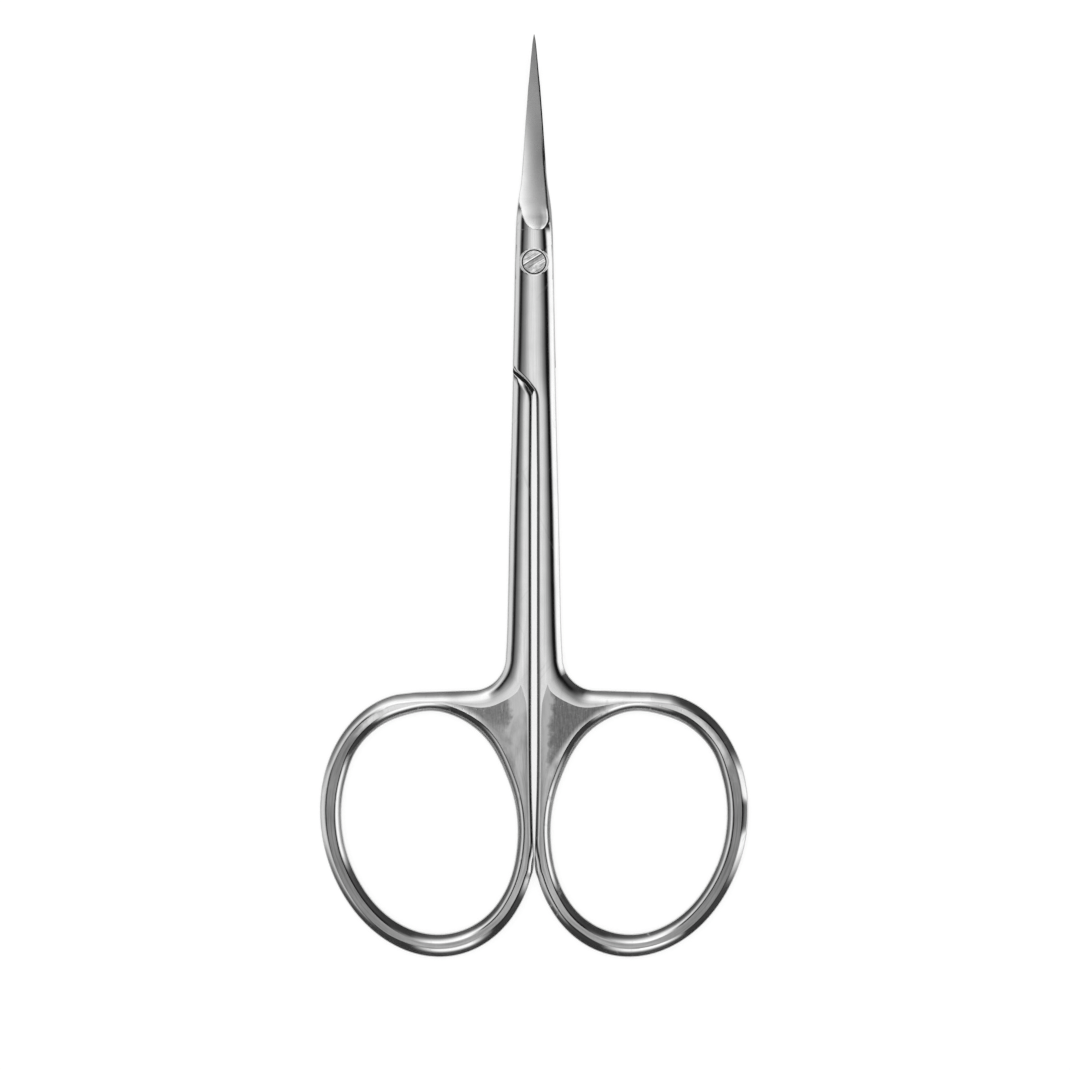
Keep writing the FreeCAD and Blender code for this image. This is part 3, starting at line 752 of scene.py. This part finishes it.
class Nodes:
    """Adds nodes to a tree. What feeds an input is a number, a vector or another node's output."""

    def __init__(self, tree):
        self.tree = tree

    def put(self, kind, feeds=None, **settings):
        """Adds a node: its kind, what feeds its inputs by name or number, and its settings."""
        node = self.tree.nodes.new(kind)
        for key, value in settings.items():
            setattr(node, key, value)
        for key, value in (feeds or {}).items():
            named = [s for s in node.inputs if s.name == key and s.enabled]
            socket = named[0] if named else node.inputs[key]
            if isinstance(value, bpy.types.NodeSocket):
                self.tree.links.new(value, socket)
            else:
                socket.default_value = value
        return node

    def maths(self, operation, *values, clamp=False):
        """The result of one step of arithmetic on up to three values."""
        feeds = dict(enumerate(values))
        return self.put("ShaderNodeMath", feeds, operation=operation, use_clamp=clamp).outputs[0]

    def length(self, vector):
        return self.put("ShaderNodeVectorMath", {0: vector}, operation="LENGTH").outputs["Value"]

    def split(self, vector):
        return self.put("ShaderNodeSeparateXYZ", {0: vector}).outputs

    def joined(self, **parts):
        return self.put("ShaderNodeCombineXYZ", parts).outputs[0]

    def noise(self, vector, **settings):
        return self.put("ShaderNodeTexNoise", {"Vector": vector, **settings}).outputs[0]

    def contrasted(self, level, contrast):
        """A level drawn apart about a half: (level - 0.5) times contrast, plus 0.5, from 0 to 1."""
        drawn = self.maths("MULTIPLY", self.maths("ADD", level, -0.5), contrast)
        return self.maths("ADD", drawn, 0.5, clamp=True)


class Effect(Nodes):
    """A node group with named inputs and one output, which several finishes use."""

    def __init__(self, name, output, **inputs):
        super().__init__(bpy.data.node_groups.new(name, "ShaderNodeTree"))
        sockets = self.tree.interface
        for label, value in inputs.items():
            kind = "NodeSocketVector" if value is None else "NodeSocketFloat"
            socket = sockets.new_socket(label, in_out="INPUT", socket_type=kind)
            if value is not None:
                socket.default_value = value
        sockets.new_socket(output, in_out="OUTPUT", socket_type="NodeSocketFloat")
        self.given = self.put("NodeGroupInput").outputs

    def gives(self, level):
        self.put("NodeGroupOutput", {0: level})
        return self.tree


def streaks_group():
    """Fine parallel marks of a brush or belt: noise drawn out along the first coordinate."""
    group = Effect("fine_streaks", "Streaks", Vector=None, Along=3.0, Across=60.0, Contrast=1.0)
    given = group.given
    scale = group.joined(X=given["Along"], Y=given["Across"], Z=given["Across"])
    drawn = group.put("ShaderNodeVectorMath", {0: given["Vector"], 1: scale}, operation="MULTIPLY").outputs[0]
    noise = group.noise(drawn, Scale=1.0, Detail=4.0, Roughness=0.65)
    return group.gives(group.contrasted(noise, given["Contrast"]))


def clouds_group():
    """Soft patches, where 0 and 1 are the darkest and the lightest, at a size in units of the vector."""
    group = Effect("soft_clouds", "Clouds", Vector=None, Scale=10.0, Detail=3.0, Contrast=1.5)
    given = group.given
    noise = group.noise(given["Vector"], Scale=given["Scale"], Detail=given["Detail"], Roughness=0.6)
    return group.gives(group.contrasted(noise, given["Contrast"]))


def scratches_group():
    """Hairline scratches: thin crests of noise drawn out along three slanting directions."""
    group = Effect("hairline_scratches", "Scratches", Vector=None, Scale=1000.0, Amount=0.3)
    given = group.given
    lines = 0.0
    for angle, seed in ((0.95, 1.0), (1.5, 7.0), (1.95, 13.0)):
        feeds = {"Vector": given["Vector"], "Location": (seed, seed, 0), "Rotation": (0, 0, angle),
                 "Scale": (14.0, 0.6, 1.0)}
        turned = group.put("ShaderNodeMapping", feeds, vector_type="TEXTURE").outputs[0]
        noise = group.noise(turned, Scale=given["Scale"], Detail=1.0)
        thin = group.put("ShaderNodeMapRange", {"Value": noise, "From Min": 0.7, "From Max": 0.78}).outputs[0]
        lines = group.maths("MAXIMUM", lines, thin)
    return group.gives(group.maths("MULTIPLY", lines, given["Amount"], clamp=True))


def pits_group():
    """Small round pits left by the forge, in some of the cells of a scattered pattern."""
    group = Effect("forge_pits", "Pits", Vector=None, Scale=2500.0, Share=0.4)
    given = group.given
    cells = group.put("ShaderNodeTexVoronoi", {"Vector": given["Vector"], "Scale": given["Scale"]}).outputs
    feeds = {"Value": cells["Distance"], "From Min": 0.34, "From Max": 0.12}
    dent = group.put("ShaderNodeMapRange", feeds).outputs[0]
    luck = group.put("ShaderNodeSeparateColor", {0: cells["Color"]}).outputs[0]
    return group.gives(group.maths("MULTIPLY", dent, group.maths("LESS_THAN", luck, given["Share"])))


def zone_group():
    """1 where a value lies beyond a border that is made ragged by clouds, with a soft step."""
    group = Effect("ragged_zone", "Zone", Value=0.0, Border=0.0, Softness=0.1, Ragged=0.2, Clouds=0.5)
    given = group.given
    shift = group.maths("ADD", given["Clouds"], -0.5)
    shifted = group.maths("MULTIPLY_ADD", shift, given["Ragged"], given["Value"])
    share = group.maths("DIVIDE", group.maths("SUBTRACT", shifted, given["Border"]), given["Softness"])
    return group.gives(group.maths("ADD", share, 0.5, clamp=True))


fine_streaks, soft_clouds, hairline_scratches = streaks_group(), clouds_group(), scratches_group()
forge_pits, ragged_zone = pits_group(), zone_group()


class Steel(Nodes):
    """A steel material: its Principled shader, and helpers that add effects, factors and bumps."""

    def __init__(self, name, roughness, anisotropic=0.0):
        self.made = bpy.data.materials.new(name)
        self.made.use_nodes = True
        super().__init__(self.made.node_tree)
        self.shader = self.tree.nodes["Principled BSDF"].inputs
        self.shader["Metallic"].default_value = 1
        self.shader["Roughness"].default_value = roughness
        self.shader["Anisotropic"].default_value = anisotropic
        place = self.put("ShaderNodeTexCoord").outputs
        self.place, self.lines = place["Object"], place["UV"]
        self.bump = None

    def group(self, tree, **feeds):
        return self.put("ShaderNodeGroup", feeds, node_tree=tree).outputs[0]

    def zone(self, value, border, softness, ragged, clouds):
        """1 where a value is past a border, with a soft step that clouds make ragged."""
        return self.group(ragged_zone, Value=value, Border=border, Softness=softness, Ragged=ragged,
                          Clouds=clouds)

    def blend(self, share, low, high):
        """low where share is 0, high where it is 1; each a number or a socket."""
        return self.put("ShaderNodeMapRange", {"Value": share, "To Min": low, "To Max": high}).outputs[0]

    def times(self, a, b):
        return self.maths("MULTIPLY", a, b)

    def shaded(self, grey, *effects):
        """The grey times a factor for each effect, given as its mask and the factor at 0 and at 1."""
        for mask, low, high in effects:
            grey = self.times(grey, self.blend(mask, low, high))
        return grey

    def tone(self, grey):
        """Feeds the base colour with a grey level of at most 0.98."""
        self.tree.links.new(self.maths("MINIMUM", grey, 0.98), self.shader["Base Color"])

    def rough(self, level):
        self.tree.links.new(level, self.shader["Roughness"])

    def raised(self, height, distance, strength=1.0):
        """Adds a bump on top of those before it."""
        feeds = {"Height": height, "Distance": distance, "Strength": strength}
        if self.bump is not None:
            feeds["Normal"] = self.bump
        self.bump = self.put("ShaderNodeBump", feeds).outputs[0]
        self.tree.links.new(self.bump, self.shader["Normal"])


def mirror_finish():
    """Buffed steel: faint waves from the wheel, hairline scratches, and hazy patches."""
    steel = Steel("mirror_steel", 0.09)
    haze = steel.group(soft_clouds, Vector=steel.place, Scale=420.0, Detail=4.0, Contrast=1.8)
    hair = steel.group(hairline_scratches, Vector=steel.place, Scale=900.0, Amount=1.0)
    belt = steel.group(fine_streaks, Vector=steel.lines, Along=9.0, Across=620.0, Contrast=2.4)
    waves = steel.group(soft_clouds, Vector=steel.place, Scale=260.0, Detail=1.0, Contrast=1.0)
    steel.tone(steel.shaded(steel.blend(haze, 0.585, 0.66), (belt, 0.9, 1.06), (hair, 1.0, 0.94)))
    steel.rough(steel.maths("MULTIPLY_ADD", hair, 0.12, steel.blend(haze, 0.07, 0.13)))
    steel.raised(waves, 0.00003, 0.35)
    steel.raised(hair, 0.000002, 0.5)
    return steel.made


def satin_finish():
    """The flats of ring and web, rubbed on a fine belt: grain that follows the ring, a smoother
    strip beside the inner edge, and darker cloudy patches with forge pits above the finger hole.
    Painted shade makes the ring's flat darker towards its outer side and the front half's web
    darker than the rear half's."""
    steel = Steel("satin_steel", 0.36, 0.35)
    grain = steel.group(fine_streaks, Vector=steel.lines, Along=12.0, Across=120.0, Contrast=3.4)
    fine = steel.group(fine_streaks, Vector=steel.place, Along=8000.0, Across=900.0, Contrast=2.6)
    cloud = steel.group(soft_clouds, Vector=steel.place, Scale=330.0, Detail=7.0, Contrast=1.9)
    blotch = steel.group(soft_clouds, Vector=steel.place, Scale=3200.0, Detail=3.0, Contrast=2.2)
    across, along, _ = steel.split(steel.place)
    out = steel.maths("ABSOLUTE", across)
    front = steel.maths("GREATER_THAN", across, 0.0)
    rough_cast = steel.zone(out, steel.blend(front, 0.0031, 0.00195), 0.0007, 0.0024, cloud)
    on_web = steel.zone(along, steel.blend(front, -0.0278, -0.0317), 0.004, 0.005, cloud)
    rim_oval = (hole_half + 0.95) * mm
    centre = (hole_centre + (0, screw_along)) * mm
    feeds = {"Vector": steel.joined(X=out, Y=along), "Location": (*centre, 0), "Scale": (*rim_oval, 1),
             "Rotation": (0, 0, -math.radians(hole_lean))}
    from_hole = steel.put("ShaderNodeMapping", feeds, vector_type="TEXTURE").outputs[0]
    rim = steel.zone(steel.times(steel.length(from_hole), -1.0), -1.055, 0.05, 0.03, cloud)
    patch = steel.times(steel.times(rough_cast, on_web), steel.blend(rim, 1.0, 0.0))
    near_top = steel.zone(along, -0.0262, 0.0012, 0.0008, blotch)
    pits = steel.group(forge_pits, Vector=steel.place, Scale=2600.0, Share=0.3)
    pits = steel.times(pits, steel.times(near_top, rough_cast))
    strip = steel.zone(out, 0.00115, 0.0004, 0.0003, cloud)
    # Painted shade: the ring's flat is made darker towards its outer side, 0.19 against 0.32 inside.
    outer = steel.zone(out, 0.0165, 0.006, 0.002, cloud)
    # Painted shade: the front half's web is made a little darker than the rear half's, 0.37 against 0.43.
    steel.tone(steel.shaded(
        steel.blend(on_web, steel.blend(outer, 0.32, 0.19), steel.blend(front, 0.43, 0.37)),
        (steel.times(patch, steel.blend(front, 0.8, 1.0)), 1.0, 0.66), (steel.times(rim, on_web), 1.0, 1.45),
        (strip, 0.86, 1.0), (grain, steel.blend(on_web, 0.68, 0.96), steel.blend(on_web, 1.38, 1.03)),
        (fine, 1.05, 0.94), (steel.times(patch, blotch), 1.06, 0.76), (steel.times(patch, fine), 1.16, 0.76),
        (cloud, 0.95, 1.06), (pits, 1.0, 1.7)))
    steel.rough(steel.shaded(steel.blend(patch, 0.33, 0.46), (grain, 0.9, 1.12)))
    steel.raised(grain, 0.000004, 0.5)
    steel.raised(pits, -0.00003, 0.8)
    return steel.made


def ground_finish():
    """The hollow-ground face of the blade: a soft haze and faint lines across it from the stone. Light
    and shade are painted on it too: a painted highlight on the part nearer the blade's back and along
    the border round the heel, painted shade towards the tip, and a round patch of painted shade near
    the heel where the stone ran out. Its map holds the share across the face and the distance from
    its border."""
    steel = Steel("ground_steel", 0.24)
    haze = steel.group(soft_clouds, Vector=steel.place, Scale=620.0, Detail=5.0, Contrast=1.9)
    stone = steel.group(fine_streaks, Vector=steel.place, Along=260.0, Across=5200.0, Contrast=2.0)
    hair = steel.group(hairline_scratches, Vector=steel.place, Scale=1300.0, Amount=1.0)
    along = steel.split(steel.place)["Y"]
    share, border, _ = steel.split(steel.lines)
    # Painted shade: the face is made darker towards the tip.
    tip = steel.zone(along, 0.0395, 0.011, 0.003, haze)
    # Painted highlight: the part of the face nearer the blade's back, about 0.4 of its width, is made
    # lighter, less so towards the tip.
    right = steel.zone(share, 0.004, 0.006, 0.0012, haze)
    # Painted highlight: a bright line along the border of the face round its heel.
    inside = steel.zone(border, 0.0013, 0.0012, 0.0003, haze)
    heel = steel.zone(along, 0.0343, 0.0012, 0.0003, haze)
    # Painted shade: a soft round dark patch near the heel of the face, over the bright reflection there.
    on_facet = steel.joined(X=steel.times(share, 0.275), Y=along)
    from_dark_patch = steel.put("ShaderNodeVectorMath", {0: on_facet, 1: (0.0023, screw_along * mm + 0.0048, 0)},
                          operation="DISTANCE").outputs["Value"]
    painted_dark_patch = steel.zone(steel.times(from_dark_patch, -1.0), -0.0006, 0.0009, 0.0004, haze)
    steel.tone(steel.shaded(
        steel.blend(haze, 0.66, 0.8), (stone, 0.96, 1.04), (hair, 1.0, 0.95), (tip, 1.0, 0.73),
        (right, steel.blend(tip, 1.36, 1.06), 0.98), (inside, steel.blend(heel, 1.28, 1.0), 1.0),
        (painted_dark_patch, 1.0, 0.58)))
    steel.rough(steel.shaded(steel.blend(haze, 0.2, 0.3), (stone, 0.93, 1.08)))
    steel.raised(haze, 0.00001, 0.25)
    steel.raised(stone, 0.0000015, 0.5)
    return steel.made


def lapped_finish():
    """The faces that slide on each other, and the screw's hole: matt, rubbed in rings round the
    screw. Painted shade makes the hole nearly black, and a painted shadow makes the faces almost black
    past about 12 mm from the screw, for the gap at step and shoulder."""
    steel = Steel("lapped_steel", 0.4)
    across, along, _ = steel.split(steel.place)
    out = steel.length(steel.joined(X=across, Y=steel.maths("ADD", along, -screw_along * mm)))
    rings = steel.group(fine_streaks, Vector=steel.joined(Y=out), Along=1.0, Across=9000.0, Contrast=2.0)
    cloud = steel.group(soft_clouds, Vector=steel.place, Scale=900.0, Detail=4.0, Contrast=2.0)
    # Painted shadow: past about 12 mm from the screw the faces are made almost black, for the gap at step and
    # shoulder.
    gap_shade = steel.zone(out, 0.0118, 0.002, 0.001, cloud)
    # Painted shade: within about 1.56 mm of the screw's axis the hole's wall is made nearly black.
    hole_shade = steel.zone(steel.times(out, -1.0), -0.00156, 0.0001, 0.00004, cloud)
    grey = steel.blend(rings, 0.4, 0.5)
    steel.tone(steel.shaded(grey, (cloud, 0.85, 1.05), (hole_shade, 1.0, 0.1), (gap_shade, 1.0, 0.05)))
    steel.rough(steel.shaded(steel.blend(cloud, 0.34, 0.48), (rings, 0.9, 1.1)))
    steel.raised(rings, 0.000002, 0.5)
    return steel.made


half_finishes = (mirror_finish(), satin_finish(), ground_finish(), lapped_finish())

for side, hole, name, body, node in ((1, front_hole, "front_half_steel", "front", "front_half"),
                                     (-1, rear_hole, "rear_half_steel", "rear", "rear_half")):
    made = bpy.data.objects.new(name, half_skin(side, hole).mesh(name))
    for material in half_finishes:
        made.data.materials.append(material)
    bpy.context.scene.collection.objects.link(made)
    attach(made, body)
    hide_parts(node)


# Pivot screw
# A slotted cheese-head screw of turned stainless steel. Its head lies in the front half's
# counterbore, its plain shoulder is that half's bearing, and its thread is cut into the rear half.

head_radius = 1.4
head_bevel = 0.08
head_depth = 0.62
slot_half = 0.31
slot_lip = 0.065
slot_depth = 0.36
slot_turn = 32.0
shoulder_radius = 0.95
shoulder_ease = 0.02
head_side_share = 0.6
thread_radius = 0.75
tail_bevel = 0.12
lip_fall_share = 0.7


def screw_skin():
    """The head as rows parallel to its slot, each row running across the face, down both sides
    and in to the axis below, so that the whole screw is one closed skin."""
    bare = head_radius - head_bevel
    v = bare * np.sin(np.radians(np.linspace(-90, 90, 73)))
    v = v[np.abs(np.abs(v) - slot_half) > slot_lip * 1.2]
    lips = np.array((slot_half + slot_lip, slot_half, slot_half - 0.01))
    v = np.sort(np.concatenate((v, lips, -lips)))
    half_chord = np.sqrt(np.clip(bare ** 2 - v ** 2, 0, None))
    v_side = v * (1 + head_bevel / bare * faded(np.abs(v), slot_half, bare))
    side_chord = np.sqrt(np.clip(head_radius ** 2 - v_side ** 2, 0, None))
    bearing = np.arctan2(v_side, side_chord)
    top = (screw_high.z - mating_height * mm) / mm
    tail = (screw_low.z - mating_height * mm) / mm
    face = top + np.interp(np.abs(v), lips[::-1], (-slot_depth, -lip_fall_share * slot_lip, 0.0))
    below = ((0, tail), (thread_radius - tail_bevel, tail), (thread_radius, tail + tail_bevel),
             (thread_radius, -shoulder_ease), (shoulder_radius, 0.0), (shoulder_radius, top - head_depth),
             (head_radius, top - head_depth * head_side_share))
    radius, height = np.array(below).T[..., None]
    share = np.linspace(1, 0, 9)[:-1, None]
    x = np.concatenate((radius * np.cos(bearing), side_chord[None], half_chord * share)).T
    y = np.concatenate((radius * np.sin(bearing), v_side[None], v + 0 * share)).T
    z = np.concatenate((height + 0 * v, np.minimum(top - head_bevel, face)[None], face + 0 * share)).T
    x = np.concatenate((x, 0 * v[:, None], -x[:, ::-1]), 1)
    y = np.concatenate((y, v[:, None], y[:, ::-1]), 1)
    z = np.concatenate((z, face[:, None], z[:, ::-1]), 1)
    c, s = math.cos(math.radians(slot_turn)), math.sin(math.radians(slot_turn))
    skin = Skin()
    skin.add(screw_across + c * x - s * y, screw_along + s * x + c * y, mating_height + z, x, y, 0)
    return skin


def screw_finish():
    """Turned and brushed steel. The brush ran beside the slot, whose floor is darker. Light and shade
    are painted on the head: one lip of the slot is painted bright and the other dark, a painted glint
    lies beside the dark one, and the bevel round the head is painted almost black as the shadow of the
    gap round it."""
    steel = Steel("screw_steel", 0.2)
    brush = steel.group(fine_streaks, Vector=steel.lines, Along=55.0, Across=700.0, Contrast=5.0)
    fine = steel.group(fine_streaks, Vector=steel.lines, Along=160.0, Across=5200.0, Contrast=2.0)
    cloud = steel.group(soft_clouds, Vector=steel.lines, Scale=110.0, Detail=3.0, Contrast=3.6)
    across = steel.split(steel.lines)["Y"]
    off = steel.maths("ABSOLUTE", across)
    upper = steel.maths("GREATER_THAN", across, 0.0)
    inside = steel.zone(steel.times(off, -1.0), -0.0029, 0.0003, 0.0002, cloud)
    # Painted shade: the bevel and side of the head are made almost black, as the shadow of the gap round it.
    bevel = steel.zone(steel.length(steel.lines), 0.01345, 0.0004, 0.0001, cloud)
    # Painted highlight and shade: the slot's lower lip is made lighter and the upper one dark; the glint is a
    # painted highlight just outside the dark lip.
    lip = steel.maths("COMPARE", off, 0.0034, 0.00045)
    glint = steel.times(steel.maths("COMPARE", off, 0.0044, 0.00055), upper)
    steel.tone(steel.shaded(
        steel.blend(brush, 0.34, 0.86), (fine, 0.88, 1.1), (cloud, 0.6, 1.2),
        (lip, 1.0, steel.blend(upper, 1.7, 0.22)), (glint, 1.0, 2.4), (bevel, 1.0, 0.2), (inside, 1.0, 0.8)))
    steel.rough(steel.shaded(steel.blend(brush, 0.2, 0.3), (inside, 1.0, 1.3)))
    steel.raised(brush, 0.00001, 0.5)
    return steel.made


screw = bpy.data.objects.new("pivot_screw_steel", screw_skin().mesh("pivot_screw_steel", crease=30))
screw.data.materials.append(screw_finish())
bpy.context.scene.collection.objects.link(screw)
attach(screw, "rear")
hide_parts("pivot_screw")


# Table
# A smooth white board that the scissors lie on. It shows white to the camera and in the steel,
# and keeps their soft shadow.

board_reach = 3.0
board_grey = 0.3
board_glow = 0.76
corners = [(-1, -1), (1, -1), (1, 1), (-1, 1)]
board = bpy.data.meshes.new("table_board")
board.from_pydata([(x * board_reach, y * board_reach, 0) for x, y in corners], [], [(0, 1, 2, 3)])
table = bpy.data.objects.new("table_board", board)
bpy.context.scene.collection.objects.link(table)
paper = bpy.data.materials.new("white_board")
paper.use_nodes = True
paper_nodes = Nodes(paper.node_tree)
shader = paper.node_tree.nodes["Principled BSDF"].inputs
shader["Base Color"].default_value = (board_grey, board_grey, board_grey, 1)
shader["Roughness"].default_value = 0.9
shader["Specular IOR Level"].default_value = 0
path = paper_nodes.put("ShaderNodeLightPath").outputs
seen = paper_nodes.maths("MAXIMUM", path["Is Camera Ray"], path["Is Glossy Ray"])
shader["Emission Color"].default_value = (1, 1, 1, 1)
paper.node_tree.links.new(paper_nodes.maths("MULTIPLY", seen, board_glow), shader["Emission Strength"])
board.materials.append(paper)


# Studio light
# A white tent open along its corners, so that the steel shows crisp dark and light lines, and a
# soft lamp that brings painted things to their written colours.

# Brightness of the tent in percent, as the steel shows it on the screen: each row is
# an angle down from straight above, with one value for each bearing round the tent, in degrees.
steel_share = 0.62
tent_bearings = (0, 14, 22, 50, 68, 87, 116, 130, 150, 168, 192, 214, 231, 252, 268, 291, 305, 331, 342)
tent_rows = (
    (0, (87,) * len(tent_bearings)),
    (14, (78, 78, 78, 78, 80, 83, 85, 85, 86, 86, 86, 85, 84, 83, 84, 80, 79, 78, 78)),
    (30, (49, 49, 50, 52, 60, 78, 78, 70, 60, 56, 56, 56, 60, 66, 80, 72, 60, 54, 50)),
    (42, (10, 10, 16, 30, 62, 88, 88, 48, 42, 40, 40, 38, 34, 46, 90, 86, 34, 22, 12)),
    (50, (5, 5, 6, 12, 58, 97, 97, 16, 12, 12, 12, 10, 8, 24, 98, 95, 10, 6, 5)),
    (57, (10, 10, 6, 8, 50, 100, 100, 16, 10, 10, 10, 10, 8, 22, 100, 100, 10, 6, 10)),
    (65, (70, 68, 24, 18, 36, 95, 100, 85, 72, 40, 40, 68, 24, 20, 98, 100, 20, 24, 68)),
    (70, (95, 95, 30, 22, 26, 85, 100, 92, 85, 76, 76, 80, 26, 20, 90, 100, 20, 26, 93)),
    (77, (100, 100, 30, 24, 22, 60, 80, 60, 70, 86, 86, 46, 24, 20, 55, 60, 20, 26, 100)),
    (82, (100, 90, 26, 22, 22, 34, 36, 30, 36, 60, 60, 28, 22, 20, 26, 28, 20, 24, 90)),
    (87, (40, 34, 22, 20, 20, 24, 25, 22, 24, 30, 30, 24, 20, 18, 20, 22, 18, 22, 36)))


def light_for(percent):
    """Light whose reflection in the steel shows as that brightness on the screen."""
    b = np.asarray(percent, float) / 100
    return np.where(b > 0.04045, ((b + 0.055) / 1.055) ** 2.4, b / 12.92) / steel_share


world = bpy.data.worlds.new("white_tent")
bpy.context.scene.world = world
world.use_nodes = True
world.node_tree.nodes.clear()
tent = Nodes(world.node_tree)
x, y, z = tent.split(tent.put("ShaderNodeTexCoord").outputs["Generated"])
bearing = tent.maths("FRACT", tent.maths("DIVIDE", tent.maths("ARCTAN2", y, x), 2 * math.pi))
tilt = tent.maths("ARCCOSINE", z)
walls, last = None, 0
for angle, values in tent_rows:
    row = tent.put("ShaderNodeValToRGB", {0: bearing})
    stops = row.color_ramp.elements
    while len(stops) > 1:
        stops.remove(stops[-1])
    for n, (place, light) in enumerate(zip((*tent_bearings, 360), light_for((*values, values[0])))):
        stop = stops[0] if n == 0 else stops.new(place / 360)
        stop.position = place / 360
        stop.color = (light, light, light, 1)
    if walls is None:
        walls = row.outputs[0]
        continue
    between = {"Value": tilt, "From Min": math.radians(last), "From Max": math.radians(angle)}
    share = tent.put("ShaderNodeMapRange", between).outputs[0]
    both = {"Factor": share, "A": walls, "B": row.outputs[0]}
    walls = tent.put("ShaderNodeMix", both, data_type="RGBA").outputs["Result"]
    last = angle
tent.put("ShaderNodeOutputWorld", {"Surface": tent.put("ShaderNodeBackground", {"Color": walls}).outputs[0]})

lamp_data = bpy.data.lights.new("soft_lamp", "AREA")
lamp_data.shape = "DISK"
lamp_data.size = 1.2
lamp_data.energy = 6.0
lamp = bpy.data.objects.new("soft_lamp", lamp_data)
lamp.location = (0, 0, 1.1)
lamp.visible_glossy = False
bpy.context.scene.collection.objects.link(lamp)


# Camera
# Straight above the middle of the picture, with a long lens.

frame_width = 127.94
frame_middle = (0.1, -32.6)
lens = 180.0
sensor = 36.0
camera_data = bpy.data.cameras.new("camera")
camera_data.lens = lens
camera_data.sensor_width = sensor
camera_data.clip_start = 0.01
camera_data.clip_end = 20
camera = bpy.data.objects.new("camera", camera_data)
bpy.context.scene.collection.objects.link(camera)
camera.location = ((frame_middle[0] + screw_across) * mm, (frame_middle[1] + screw_along) * mm,
                   (mating_height + frame_width * lens / sensor) * mm)
bpy.context.scene.camera = camera

bpy.context.scene.view_settings.view_transform = "Standard"
